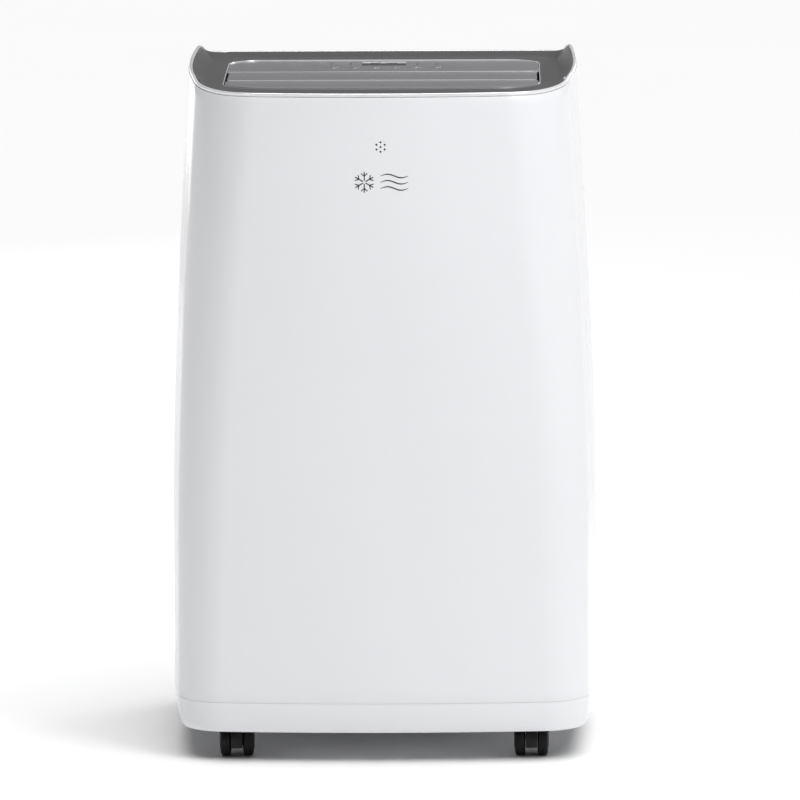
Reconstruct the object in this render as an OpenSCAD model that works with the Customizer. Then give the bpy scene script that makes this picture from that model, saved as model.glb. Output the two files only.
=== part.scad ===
// Portable air conditioner: a white moulded cabinet on four twin-wheel casters, with a dished
// grey deck, a two-blade motorised outlet louvre, push keys, and the refrigeration set inside.
// Millimetres. +Z is up, the front faces -Y, and the origin is on the floor under the middle.

/* [Cabinet] */
// Width of the cabinet at its widest
body_w = 433; // [400:1:470]
// Depth of the cabinet, front face to rear face
body_d = 334; // [320:1:370]
// Height of the front lip of the deck above the floor
lip_z = 678; // [660:1:760]
// Clear gap under the cabinet
ground_gap = 31; // [29:1:36]
// Wall thickness of the moulded shells
wall = 3; // [2.5:0.1:4]
// Height of the base tray's skirt
skirt_h = 31; // [26:1:40]
// How far each side leans in at the top
side_taper = 19.3; // [5:0.1:22]
// How far the front face leans back at the top
front_lean = 14; // [5:1:18]
// Radius of the front corners in plan, at the foot
foot_r = 42; // [30:1:60]
// Radius of the front corners in plan, at the deck
front_r = 58; // [45:1:62]
// Radius of the rear corners in plan
rear_r = 34; // [25:1:40]
// Depth of the front panel's wrap round the sides
panel_wrap = 85; // [80:1:110]

/* [Deck] */
// How far the side wings stand above the front lip
wing_rise = 17.5; // [8:0.5:20]
// How far the rear edge stands above the front lip
back_rise = 6; // [4:0.5:8]
// Thickness of the deck moulding
deck_t = 3; // [2.5:0.1:4]
// Half width of the deck's lid opening
lid_hw = 159; // [150:1:163]
// Depth of the lid opening that the two louvre blades fill
louvre_d = 138.6; // [120:0.1:145]
// Depth of the control panel
control_d = 101; // [90:1:105]

/* [Louvre and keys] */
// Gap round each louvre blade
blade_gap = 1.4; // [1:0.1:2]
// Thickness of a louvre blade
blade_t = 3; // [2.4:0.1:3.6]
// Radius of the louvre pivot pins
pivot_r = 3; // [2.5:0.1:3.5]
// Radius of a key cap
key_r = 6; // [5:0.1:7]
// Travel of a key
key_travel = 0.8; // [0.5:0.1:1.2]

/* [Casters] */
// Radius of a caster wheel
wheel_r = 18; // [16:0.5:18]
// Width of a caster wheel
wheel_w = 11.4; // [10:0.1:13]
// Radius of the caster stem
stem_r = 4; // [3.5:0.1:5]
// Distance of the casters from the middle, across the cabinet
caster_x = 149; // [130:1:155]

/* [Outlet and fans] */
// Radius of the hot-air outlet
outlet_r = 66; // [55:1:66]
// How far the outlet collar stands proud of the rear face
collar_proud = 6; // [4:0.5:10]
// Radius of the upper fan wheel
upper_fan_r = 85; // [70:1:88]
// Radius of the lower fan wheel
lower_fan_r = 72; // [60:1:78]
// Radius of the motor shafts
shaft_r = 4; // [3:0.1:5]

/* [Hidden] */
$fn = 48;
run_gap = 0.05;             // radial clearance of a running fit
fit_gap = 0.3;              // clearance between pieces that sit together
front_y = -(body_d + collar_proud) / 2;
back_y = front_y + body_d;
wide_y = front_y + 190;     // where the sides are widest
seam_y = front_y + panel_wrap;
base_top = ground_gap + skirt_h;
taper_z = 250;              // the sides and front are upright below this height
front_swell = [0.06, 0.105]; // share of its half width that the plan loses towards the
                            // front, at the foot and at the deck
rear_swell = 0.05;          // and towards the rear
front_bow = [12, 18];       // how far the front face curves back at the sides
skirt_tuck = 2;             // how far the skirt turns in at its foot
floor_z = lip_z + 1;        // top of the deck's flat floor, the lid's upper face
lip_y = front_y + front_lean;
lid_y0 = lip_y + 38;        // front edge of the lid opening
louvre_y1 = lid_y0 + louvre_d;
lid_y1 = louvre_y1 + control_d;
lid_front_r = 44;
lid_rear_r = 34;
lid_bow = 9;
trim_in = 0.6;              // bright bead set in from the cabinet's side
trim_w = 3.5;               // width of the bead
trim_h = 2.4;               // height of its face, above a shadow groove
groove_h = 1.2;
deck_inset = trim_in + trim_w + fit_gap;

function lerp(a, b, t) = a + (b - a) * t;
function clamp01(t) = min(1, max(0, t));
function smooth(t) = let(u = clamp01(t)) u * u * (3 - 2 * u);

// ---- The cabinet's outer form: half width and front face at a height, and a plan outline ----
function rise(z) = pow(clamp01((z - taper_z) / (lip_z - taper_z)), 1.5);
function half_w(z) = body_w / 2 - side_taper * rise(z);
function face_y(z) = front_y + front_lean * rise(z);
// From the foot (0) to the deck (1).
function up(z) = clamp01((z - base_top) / (lip_z - base_top));
function corner_r(z) = lerp(foot_r, front_r, up(z));

front_n = 8;                // segments of the front face
corner_n = 8;               // segments of a corner
side_n = 5;                 // segments of a rear casing side
wrap_n = 2;                 // segments of a front panel side

// A corner's arc about a centre, from one angle to another.
function arc(cx, cy, r, a0, a1, n) =
    [for (i = [0:n]) let(a = lerp(a0, a1, i / n)) [cx + r * cos(a), cy + r * sin(a)]];

// The outline ahead of the seam, from the left seam round the front to the right one.
function ahead(w, yf, ys, r, inset) = concat(
    [for (i = [0:wrap_n - 1]) [-w + inset, lerp(ys, yf + r, i / wrap_n)]],
    arc(-w + r, yf + r, r - inset, 180, 270, corner_n),
    [for (i = [1:front_n - 1]) [lerp(-w + r, w - r, i / front_n), yf + inset]],
    arc(w - r, yf + r, r - inset, 270, 360, corner_n),
    [for (i = [wrap_n - 1:-1:0]) [w - inset, lerp(ys, yf + r, i / wrap_n)]]);

// The outline behind the seam, from the right seam round the back to the left one.
function behind(w, yb, ys, r, inset) = concat(
    [for (i = [0:side_n - 1]) [w - inset, lerp(ys, yb - r, i / side_n)]],
    arc(w - r, yb - r, r - inset, 0, 90, corner_n),
    arc(-w + r, yb - r, r - inset, 90, 180, corner_n),
    [for (i = [side_n - 1:-1:0]) [-w + inset, lerp(ys, yb - r, i / side_n)]]);

// Swells the straight-sided outline: the sides bulge at wide_y and the front face is bowed.
function swell(p, w, yf, yb, kf, kr, bow) =
    let(ahead_t = clamp01((wide_y - p[1]) / (wide_y - yf)),
        behind_t = clamp01((p[1] - wide_y) / (yb - wide_y)))
    [p[0] * (1 - kf * pow(ahead_t, 2) - kr * pow(behind_t, 2)),
     p[1] + bow * pow(p[0] / w, 2) * pow(ahead_t, 2)];

function body_swell(points, z) =
    [for (p = points) swell(p, half_w(z), face_y(z), back_y, lerp(front_swell[0], front_swell[1],
        up(z)), rear_swell, lerp(front_bow[0], front_bow[1], up(z)))];
function front_line(z, inset) =
    body_swell(ahead(half_w(z), face_y(z), seam_y, corner_r(z), inset), z);
function rear_line(z, inset) =
    body_swell(behind(half_w(z), back_y, seam_y, rear_r, inset), z);
// Both together, with the two seam points once each.
function joined(a, b) = concat(a, [for (i = [1:len(b) - 2]) b[i]]);
function body_line(z, inset) = joined(front_line(z, inset), rear_line(z, inset));

// Height of the cabinet's top edge over a point of the outline.
// It swings up behind the lip, rises along the sides and falls round the rear corners.
function rim_z(p) = lip_z
    + wing_rise * (0.54 * smooth((p[1] - lip_y - 16) / 80)
                   + 0.46 * clamp01((p[1] - lip_y - 96) / (back_y - lip_y - 148)))
    - (wing_rise - back_rise) * smooth((p[1] - back_y + 52) / 46);

// A closed skin over a grid of points: grid[k][i], where k runs round the closed section and
// i along the sweep, which closes on itself when wrap is true.
module skin(grid, wrap) {
    n = len(grid);
    m = len(grid[0]);
    last = wrap ? m - 1 : m - 2;
    sides = [for (k = [0:n - 1], i = [0:last])
        let(a = k * m + i, b = k * m + (i + 1) % m,
            c = ((k + 1) % n) * m + (i + 1) % m, d = ((k + 1) % n) * m + i)
        each [[a, c, b], [a, d, c]]];
    caps = wrap ? [] : [for (k = [0:n / 2 - 2])
        let(a = k * m, b = (k + 1) * m, c = (n - 2 - k) * m, d = (n - 1 - k) * m, e = m - 1)
        each [[a, c, b], [a, d, c], [a + e, b + e, c + e], [a + e, c + e, d + e]]];
    polyhedron([for (ring = grid, p = ring) p], concat(sides, caps), convexity = 10);
}

shell_steps = [0, 0.1, 0.2, 0.32, 0.44, 0.56, 0.68, 0.8, 0.9, 0.96, 1];

// Rings of a shell from z0 up to the rim, at an inset, along a line of the outline.
function shell_rings(z0, inset, rear) =
    [for (t = shell_steps)
        let(top = rear ? rear_line(lip_z, inset) : front_line(lip_z, inset))
        [for (i = [0:len(top) - 1])
            let(z = lerp(z0, rim_z(top[i]) - trim_h - groove_h - fit_gap, t),
                line = rear ? rear_line(z, inset) : front_line(z, inset))
            [line[i][0], line[i][1], z]]];
function reverse(list) = [for (i = [len(list) - 1:-1:0]) list[i]];

module shell(z0, rear) {
    skin(concat(shell_rings(z0, 0, rear), reverse(shell_rings(z0, wall, rear))), false);
}

// ---- Front panel, with the seven holes of the signal receiver ----
dot_z = 625;
dot_r = 0.85;
dot_pitch = 4.7;
module front_panel() color("white")
    difference() {
        shell(base_top + fit_gap, false);
        translate([0, face_y(dot_z) - 5, dot_z]) rotate([-90, 0, 0]) {
            cylinder(r = dot_r, h = 20);
            for (i = [0:5]) rotate([0, 0, 60 * i + 30])
                translate([dot_pitch, 0, 0]) cylinder(r = dot_r, h = 20);
        }
    }

// ---- Rear casing, with the openings for both grilles, the outlet, grips and ports ----
outlet_x = -80;
outlet_z = 335;
collar_flange = 12;
upper_w = 326;              // opening for the upper filter frame
upper_h = 212;
upper_z = 540;
lower_w = 264;              // opening for the lower grille
lower_h = 158;
lower_x = -28;
lower_z = 166;
grip_y = 40;
grip_z = 575;
grip_w = 104;
grip_h = 34;
gland_x = 150;
gland_z = 96;
gland_r = 6;
drain_x = 112;
drain_z = 400;
low_drain_x = 30;
low_drain_z = ground_gap + 21;
drain_r = 6;
cleat_x = 152;
cleat_z = [250, 340];
seam_clear = 0.2;

module slot_2d(w, h) hull() for (s = [-1, 1]) translate([s * (w - h) / 2, 0]) circle(d = h);

module rear_casing() color("white")
    difference() {
        intersection() {
            shell(base_top + fit_gap, true);
            translate([-body_w, seam_y + seam_clear, 0]) cube([2 * body_w, body_d, 2 * lip_z]);
        }
        translate([-upper_w / 2, back_y - 20, upper_z - upper_h / 2])
            cube([upper_w, 40, upper_h]);
        translate([lower_x - lower_w / 2, back_y - 20, lower_z - lower_h / 2])
            cube([lower_w, 40, lower_h]);
        translate([outlet_x, back_y - 20, outlet_z]) rotate([-90, 0, 0])
            cylinder(r = outlet_r + 3 + fit_gap, h = 40);
        translate([gland_x, back_y - 20, gland_z]) rotate([-90, 0, 0])
            cylinder(r = gland_r + run_gap, h = 40);
        translate([drain_x, back_y - 20, drain_z]) rotate([-90, 0, 0])
            cylinder(r = drain_r + 2 + fit_gap, h = 40);
        translate([-body_w, grip_y, grip_z]) rotate([90, 0, 90])
            linear_extrude(2 * body_w) slot_2d(grip_w, grip_h);
    }

// ---- Base tray: skirt, floor, caster sockets, sump dam and the lower drain ----
tray_z = ground_gap + 13;
tray_t = 3;
socket_h = 18;
socket_r = stem_r + 4;
caster_front_y = front_y + 54;
caster_rear_y = back_y - 50;
CASTERS = [["fl", -caster_x, caster_front_y], ["fr", caster_x, caster_front_y],
           ["rl", -caster_x, caster_rear_y], ["rr", caster_x, caster_rear_y]];
foot_x = 112;               // middle of the compressor
foot_y = -62;
foot_ring = 58;             // radius of the circle through its three feet
foot_turn = 30;

module base_pan() color("white")
    difference() {
        union() {
            skin([for (s = [[0, skirt_tuck + 1.5], [1.5, skirt_tuck], [12, 0.6], [skirt_h, 0],
                            [skirt_h, wall], [12, wall + 0.6], [0, skirt_tuck + wall]])
                [for (p = body_line(base_top, s[1])) [p[0], p[1], ground_gap + s[0]]]], true);
            translate([0, 0, tray_z]) linear_extrude(tray_t)
                polygon(body_line(base_top, wall - 0.5));
            for (c = CASTERS) translate([c[1], c[2], tray_z])
                cylinder(r = socket_r, h = socket_h);
            // the dam that keeps water under the condenser
            translate([-165, 96, tray_z]) cube([330, 2.5, 14]);
            // the drain's boss, through the skirt at the back
            translate([low_drain_x, back_y - 14, low_drain_z]) rotate([-90, 0, 0])
                cylinder(r = drain_r + 2.5, h = 13);
            for (i = [0:2]) translate([foot_x, foot_y, tray_z]) rotate([0, 0, foot_turn + 120 * i])
                translate([foot_ring, 0, 0]) cylinder(r = 5, h = tray_t + 4);
        }
        for (c = CASTERS) translate([c[1], c[2], tray_z - 1])
            cylinder(r = stem_r + run_gap, h = socket_h - 3);
        translate([low_drain_x, back_y - 20, low_drain_z]) rotate([-90, 0, 0])
            cylinder(r = drain_r, h = 30);
    }

// ---- Dished deck: outer edge, sloping walls, flat floor and the lid opening ----
floor_hw = 178;
floor_y0 = lip_y + 29;
floor_y1 = back_y - 24;

inner_y = seam_y + 32;      // where the inner outlines are split

function lid_line(grow) =
    let(w = lid_hw + grow, yf = lid_y0 - grow, yb = lid_y1 + grow)
    [for (p = joined(ahead(w, yf, inner_y, lid_front_r, 0),
                     behind(w, yb, inner_y, lid_rear_r, 0)))
        swell(p, w, yf, yb, 0, 0, lid_bow)];
function deck_floor_line() =
    [for (p = joined(ahead(floor_hw, floor_y0, inner_y, 50, 0),
                     behind(floor_hw, floor_y1, inner_y, 28, 0)))
        swell(p, floor_hw, floor_y0, floor_y1, 0.02, 0.015, 10)];
function deck_edge_line() = body_line(lip_z, deck_inset);

// A deck ring between its outer edge (t = 0) and the foot of its walls (t = 1).
function deck_ring(t, drop) =
    let(edge = deck_edge_line(), foot = deck_floor_line())
    [for (i = [0:len(edge) - 1])
        [lerp(edge[i][0], foot[i][0], t), lerp(edge[i][1], foot[i][1], t),
         lerp(rim_z(edge[i]) - 0.4, floor_z, 1 - pow(1 - t, 1.35)) - drop]];
function at_z(line, z) = [for (p = line) [p[0], p[1], z]];
deck_steps = [0, 0.08, 0.25, 0.45, 0.7, 1];

module top_deck() color("gray")
    skin(concat([for (t = deck_steps) deck_ring(t, 0)],
                [at_z(lid_line(0), floor_z), at_z(lid_line(0), floor_z - deck_t)],
                [for (t = reverse(deck_steps)) deck_ring(t, t == 0 ? deck_t + 9 : deck_t)]),
         true);

// ---- Bright bead that caps the shells round the deck, with a groove under its face ----
module deck_trim() color("silver")
    skin([for (s = [[0, -trim_h], [0, -0.8], [0.7, -0.1], [trim_w - 0.8, 0], [trim_w, -0.6],
                    [trim_w, -8], [wall + fit_gap - trim_in, -8],
                    [wall + fit_gap - trim_in, -trim_h - groove_h],
                    [0.9, -trim_h - groove_h], [0.9, -trim_h]])
        let(line = body_line(lip_z, trim_in + s[0]))
        [for (p = line) [p[0], p[1], rim_z(p) + s[1]]]], true);

// ---- Control panel: plate, key holes, display recess, pegs and snap tabs ----
key_y = louvre_y1 + 39;
key_pitch = 21;
KEYS = [["power", -2.5], ["mode", -1.5], ["fan", -0.5], ["down", 0.5], ["up", 1.5],
        ["timer", 2.5]];
display_w = 45;
display_d = 33;
display_y = louvre_y1 + 73;
display_t = 1.6;
peg_x = 112;
peg_h = 9;
key_clear = 0.25;
panel_gap = 0.5;

module control_panel() color("gray")
    difference() {
        union() {
            translate([0, 0, floor_z - deck_t]) linear_extrude(deck_t) intersection() {
                polygon(lid_line(-panel_gap));
                translate([-lid_hw, louvre_y1 + panel_gap]) square([2 * lid_hw, control_d]);
            }
            for (s = [-1, 1], y = [louvre_y1 + 14, lid_y1 - 30])
                translate([s * peg_x, y, floor_z - deck_t - peg_h]) cylinder(r = 4, h = peg_h);
            for (s = [-1, 1]) {
                translate([s * (lid_hw - 1) - 6, louvre_y1 + 36, floor_z - deck_t - 3.1])
                    cube([12, 16, 3]);
                translate([s * (lid_hw - 5) - 1.5, louvre_y1 + 36, floor_z - deck_t - 0.5])
                    cube([3, 16, 1]);
            }
        }
        for (k = KEYS) translate([k[1] * key_pitch, key_y, floor_z - deck_t - 1])
            cylinder(r = key_r + key_clear, h = deck_t + 2);
        translate([-display_w / 2, display_y - display_d / 2, floor_z - display_t])
            cube([display_w, display_d, deck_t]);
        translate([-display_w / 2 + 3, display_y - display_d / 2 + 3, floor_z - deck_t - 1])
            cube([display_w - 6, display_d - 6, deck_t]);
    }

module display_window() color("black")
    translate([-display_w / 2 + fit_gap / 2, display_y - display_d / 2 + fit_gap / 2,
               floor_z - display_t])
        cube([display_w - fit_gap, display_d - fit_gap, display_t - 0.1]);

// A key cap with the collar that keeps it under the panel.
module key(k) color("dimgray")
    translate([k[1] * key_pitch, key_y, 0]) {
        translate([0, 0, floor_z - deck_t - 0.1]) cylinder(r = key_r, h = deck_t + 0.1);
        translate([0, 0, floor_z - deck_t - 1.2]) cylinder(r = key_r + 1.2, h = 1.1);
    }

// ---- Control board on the panel's pegs, with a switch under each key ----
board_z = floor_z - deck_t - peg_h - 1.6;
module control_board() color("green") {
    translate([-peg_x - 8, louvre_y1 + 6, board_z])
        cube([2 * peg_x + 16, control_d - 22, 1.6]);
    for (k = KEYS) translate([k[1] * key_pitch, key_y, board_z + 1.6]) {
        translate([-3, -3, -0.1]) cube([6, 6, 3.6]);
        cylinder(r = 1.7, h = floor_z - deck_t - 1.2 - board_z - 1.6 - key_travel - 0.2);
    }
    translate([-display_w / 2 + 4, display_y - display_d / 2 + 4, board_z + 1.5])
        cube([display_w - 8, display_d - 8, 8]);
    translate([60, louvre_y1 + 52, board_z - 9.9]) cube([18, 10, 10]);
}

// ---- Outlet throat: a box under the louvre, with the blades' bearings and guard bars ----
throat_t = 2.5;
throat_hw = lid_hw + throat_t;
throat_y0 = lid_y0 - 1;
throat_y1 = louvre_y1 + 2 + throat_t;
throat_z0 = floor_z - 61;
throat_z1 = floor_z - deck_t - 1.8;
pivot_drop = 10;            // height of a blade's upper face above its pivot
pivot_z = floor_z - pivot_drop;
blade_pitch = louvre_d / 2;
blade_y = [louvre_y1 - blade_pitch / 2, lid_y0 + blade_pitch / 2];
mouth_x0 = -97.5;
mouth_x1 = 57.5;
mouth_y0 = -109;
mouth_y1 = 9;

module along_x(x0, y, z, r, len) translate([x0, y, z]) rotate([0, 90, 0]) cylinder(r = r, h = len);
module along_y(x, y0, z, r, len) translate([x, y0, z]) rotate([-90, 0, 0]) cylinder(r = r, h = len);

module outlet_throat() color("dimgray")
    difference() {
        union() {
            difference() {
                translate([-throat_hw, throat_y0 - throat_t, throat_z0])
                    cube([2 * throat_hw, throat_y1 - throat_y0 + throat_t,
                          throat_z1 - throat_z0]);
                translate([-lid_hw, throat_y0, throat_z0 + throat_t])
                    cube([2 * lid_hw, throat_y1 - throat_y0 - throat_t, 100]);
                translate([mouth_x0, mouth_y0, throat_z0 - 1])
                    cube([mouth_x1 - mouth_x0, mouth_y1 - mouth_y0, 10]);
            }
            for (i = [1:9]) translate([-lid_hw - 1 + i * (2 * lid_hw + 2) / 10 - 1,
                                       throat_y0 - 1, throat_z0 + throat_t - 0.1])
                cube([2, throat_y1 - throat_y0 - throat_t + 2, 7.6]);
        }
        for (y = blade_y) {
            along_x(-throat_hw - 1, y, pivot_z, pivot_r + run_gap, throat_t + 2);
            along_x(lid_hw - 1, y, pivot_z, pivot_r + run_gap, throat_t + 2);
        }
    }

// ---- Louvre blades, their crank arms, the link between them and the swing motor ----
blade_hw = lid_hw - 2.6;
crank_x = throat_hw + 0.4;  // inner face of the crank arms, outside the throat's right wall
crank_r = 13;               // distance of the crank pins below the pivots
crank_pin_r = 2;
link_t = 3;
arm_t = 3;
open_pivot_gap = 0.4;       // clearance of the link's second pivot, which closes the linkage

// Section of a blade: slightly crowned, with a thicker rounded nose along its front edge.
module blade_2d(c) {
    polygon(concat(
        [for (i = [0:8]) let(t = i / 8)
            [lerp(c / 2, -c / 2 + 1.6, t), pivot_drop - 0.9 * pow(2 * t - 1, 2)]],
        arc(-c / 2 + 2, pivot_drop - 2.9, 2, 100, 270, 6),
        [[-c / 2 + 6, pivot_drop - blade_t - 0.9], [c / 2, pivot_drop - blade_t]]));
}

module blade(y, front) {
    c = blade_pitch - blade_gap;
    difference() {
        intersection() {
            translate([-blade_hw, y, pivot_z]) rotate([90, 0, 90])
                linear_extrude(2 * blade_hw) blade_2d(c);
            if (front) translate([0, 0, pivot_z - 5]) linear_extrude(30)
                polygon(lid_line(-blade_gap));
            else translate([-blade_hw, y - c, pivot_z - 5]) cube([2 * blade_hw, 2 * c, 30]);
        }
    }
    // end ribs that carry the pivot pins
    for (s = [-1, 1]) {
        translate([s * (blade_hw - 6) - 1.5, y - 6, pivot_z - 0.1])
            cube([3, 12, pivot_drop - blade_t + 0.4]);
        along_x(s * (blade_hw - 6) - 1.5, y, pivot_z, 6, 3);
    }
    along_x(blade_hw - 5, y, pivot_z, pivot_r, crank_x - blade_hw + 5.1);
    along_x(-throat_hw - 0.2 - (front ? 0 : 7), y, pivot_z, pivot_r,
            throat_hw - blade_hw + 5.2 + (front ? 0 : 7));
    // the crank arm and its pin
    translate([crank_x, y, pivot_z]) rotate([90, 0, 90]) linear_extrude(arm_t) hull() {
        circle(r = 4.6);
        translate([0, -crank_r]) circle(r = 4);
    }
    along_x(crank_x + arm_t - 0.1, y, pivot_z - crank_r, crank_pin_r, link_t + 1.2);
}

module louvre_rear_blade() color("gray") blade(blade_y[0], false);
module louvre_front_blade() color("gray") blade(blade_y[1], true);

module louvre_link() color("dimgray")
    difference() {
        translate([crank_x + arm_t + 0.4, 0, pivot_z - crank_r]) rotate([90, 0, 90])
            linear_extrude(link_t) hull() for (y = blade_y) translate([y, 0]) circle(r = 4.5);
        along_x(crank_x, blade_y[0], pivot_z - crank_r, crank_pin_r + run_gap, 10);
        along_x(crank_x, blade_y[1], pivot_z - crank_r, crank_pin_r + open_pivot_gap, 10);
    }

motor_x = -throat_hw - 0.2;
motor_drop = 9;             // of the motor's can below its output shaft
module swing_motor() color("silver")
    difference() {
        union() {
            along_x(motor_x - 14, blade_y[0], pivot_z - motor_drop, 14, 14);
            translate([motor_x - 1.5, blade_y[0] - 20, pivot_z - motor_drop - 3.5])
                cube([1.5, 40, 7]);
        }
        along_x(motor_x - 8, blade_y[0], pivot_z, pivot_r + run_gap, 9);
    }

// ---- Rear grilles: a frame with sloping slats, and a fine mesh behind ----
grille_t = 9;
slat_pitch = 13;
module grille(x, z, w, h) {
    fw = w - 2 * fit_gap;
    fh = h - 2 * fit_gap;
    y = back_y - 7.5;
    translate([x, y, z]) {
        difference() {
            translate([-fw / 2, 0, -fh / 2]) cube([fw, grille_t, fh]);
            translate([-fw / 2 + 9, -1, -fh / 2 + 9]) cube([fw - 18, grille_t + 2, fh - 18]);
        }
        n = floor((fh - 18) / slat_pitch);
        for (i = [1:n]) translate([-fw / 2 + 8, 1, -fh / 2 + 9 + (i - 0.5) * (fh - 18) / n])
            rotate([-25, 0, 0]) translate([0, 0, -0.9]) cube([fw - 16, 7.5, 1.8]);
        for (s = [-1, 0, 1]) translate([s * fw / 4 - 1, 0.6, -fh / 2 + 8])
            cube([2, 3.4, fh - 16]);
    }
}
module mesh(x, z, w, h) {
    translate([x, back_y - 7.5 - 1.4, z]) difference() {
        translate([-w / 2, 0, -h / 2]) cube([w, 1.2, h]);
        for (s = [-1, 1]) translate([s * w / 4 - w / 4 + 5, -1, -h / 2 + 5])
            cube([w / 2 - 10, 1.7, h - 10]);
    }
}

module upper_filter_frame() color("white") union() {
    grille(0, upper_z, upper_w, upper_h);
    // finger pull at the top of the frame
    translate([-28, back_y + 1.4, upper_z + upper_h / 2 - 8.5]) cube([56, 3, 5]);
}
module upper_filter_mesh() color("lightgray") mesh(0, upper_z, upper_w - 10, upper_h - 10);
module lower_grille() color("white") grille(lower_x, lower_z, lower_w, lower_h);
module lower_filter_mesh() color("lightgray") mesh(lower_x, lower_z, lower_w - 10, lower_h - 10);

// ---- Hot-air outlet: a collar through the casing, with a flange outside ----
collar_y0 = 112.3;
module exhaust_collar() color("white")
    translate([outlet_x, 0, outlet_z]) rotate([-90, 0, 0]) rotate_extrude()
        polygon([[outlet_r, collar_y0], [outlet_r + 3, collar_y0], [outlet_r + 3, back_y + 0.2],
                 [outlet_r + collar_flange, back_y + 0.2],
                 [outlet_r + collar_flange, back_y + 2.4],
                 [outlet_r + collar_flange - 1, back_y + 3],
                 [outlet_r + 5, back_y + 3], [outlet_r + 4, back_y + collar_proud],
                 [outlet_r, back_y + collar_proud]]);

// ---- Drain caps: a fluted knob on a plug ----
module drain_cap(x, z) color("gray")
    translate([x, 0, z]) {
        difference() {
            along_y(0, back_y + 0.3, 0, drain_r + 5, 4.6);
            for (i = [0:11]) rotate([0, 30 * i, 0])
                along_y(drain_r + 5.6, back_y - 1, 0, 1.2, 8);
        }
        along_y(0, back_y - 9, 0, drain_r - run_gap, 9.4);
    }
module drain_cap_upper() drain_cap(drain_x, drain_z);
module drain_cap_lower() drain_cap(low_drain_x, low_drain_z);

// ---- Side grips: a cup behind each slot in the casing ----
grip_depth = 24;
// x of the casing's outer face at a height, on the line where the grips sit
function side_x(z) = half_w(z) * (1 - lerp(front_swell[0], front_swell[1], up(z))
    * pow((wide_y - grip_y + grip_w / 2) / (wide_y - face_y(z)), 2));
module handle(s) color("white")
    translate([s * (side_x(grip_z + grip_h / 2) - 1), grip_y, grip_z]) rotate([90, 0, -90 * s])
        difference() {
            linear_extrude(grip_depth) slot_2d(grip_w - fit_gap * 2, grip_h - fit_gap * 2);
            translate([0, 0, -1]) linear_extrude(grip_depth - 1.5)
                slot_2d(grip_w - 5, grip_h - 5);
        }

// ---- Cord cleats and the cord's gland on the rear face ----
module cord_cleats() color("white")
    for (z = cleat_z) translate([cleat_x, 0, z]) {
        translate([-7, back_y + 0.1, -5]) cube([14, 3.9, 10]);
        translate([-7, back_y + 3, z == cleat_z[0] ? -16 : -5]) cube([14, 2.6, 21]);
    }
module cord_gland() color("dimgray")
    difference() {
        union() {
            along_y(gland_x, back_y - 8, gland_z, gland_r, 8.2);
            along_y(gland_x, back_y + 0.1, gland_z, gland_r + 3, 4);
        }
        along_y(gland_x, back_y - 9, gland_z, 3.6, 20);
    }

// ---- Screws that hold the casing ----
SCREWS = [[-180, 100], [180, 100], [-180, 420], [180, 420], [-120, 654], [120, 654]];
module casing_screws() color("silver")
    for (s = SCREWS) translate([s[0], back_y + 0.05, s[1]]) rotate([-90, 0, 0]) difference() {
        cylinder(r = 3.4, h = 1.6);
        translate([-2.2, -0.5, 0.8]) cube([4.4, 1, 2]);
        translate([-0.5, -2.2, 0.8]) cube([1, 4.4, 2]);
    }

// ---- Partition between the cold and hot halves, with the upper drain's spout ----
part_z = 405;
pipe_x = 184;
pipe_y = 118;
pipe_r = 4;
module partition_tray() color("lightgray")
    difference() {
        union() {
            translate([0, 0, part_z]) linear_extrude(2.5) polygon(body_line(part_z, wall + 1));
            translate([-185, 100, part_z]) cube([350, 2.5, 14]);
            along_y(drain_x, back_y - wall - 30, drain_z, drain_r + 2, 30 + wall - 0.2);
            translate([drain_x - 4, back_y - wall - 30, drain_z + 3]) cube([8, 26, 4]);
        }
        along_y(drain_x, back_y - wall - 32, drain_z, drain_r, 50);
        translate([drain_x - 2, back_y - wall - 26, drain_z]) cube([4, 16, 20]);
        translate([pipe_x, pipe_y, part_z - 1]) cylinder(r = pipe_r + 2, h = 5);
    }

// ---- Coils: a fin pack between end plates, with return bends at both ends ----
module coil(x0, x1, y0, y1, z0, z1, rows) {
    tube = 4;
    pitch = (z1 - z0) / rows;
    mid = (y0 + y1) / 2;
    translate([x0, y0, z0]) cube([x1 - x0, y1 - y0, z1 - z0]);
    for (i = [0:rows / 2 - 1]) translate([x1, mid, z0 + (2 * i + 1) * pitch])
        rotate([90, 0, 0]) intersection() {
            rotate_extrude() translate([pitch / 2, 0]) circle(r = tube);
            translate([-0.1, -pitch, -tube]) cube([pitch + 2 * tube, 2 * pitch, 2 * tube]);
        }
    for (i = [0:rows / 2 - 2]) translate([x0, mid, z0 + (2 * i + 2) * pitch])
        rotate([90, 0, 0]) intersection() {
            rotate_extrude() translate([pitch / 2, 0]) circle(r = tube);
            translate([-pitch - 2 * tube + 0.1, -pitch, -tube])
                cube([pitch + 2 * tube, 2 * pitch, 2 * tube]);
        }
}
module evaporator_coil() color("silver") coil(-158, 158, 106, 142, 424, 636, 10);
module condenser_coil() color("silver") coil(-160, 104, 116, 148, 76, 252, 8);

// ---- Fan housings ----
upper_c = [0, 515];
upper_out = upper_fan_r + 15;
module upper_volute_2d(g) {
    circle(r = upper_out - g);
    translate([-upper_out + g, 0]) square([160 - 2 * g, throat_z0 - upper_c[1] - 0.2 + g]);
}
module upper_scroll() color("lightgray")
    translate([upper_c[0], mouth_y0 - throat_t, upper_c[1]]) rotate([90, 0, 0]) mirror([0, 0, 1])
        difference() {
            linear_extrude(mouth_y1 - mouth_y0 + 2 * throat_t) upper_volute_2d(0);
            translate([0, 0, throat_t]) linear_extrude(mouth_y1 - mouth_y0) upper_volute_2d(2.5);
            translate([0, 0, mouth_y1 - mouth_y0]) cylinder(r = 68, h = 10);
        }

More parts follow.
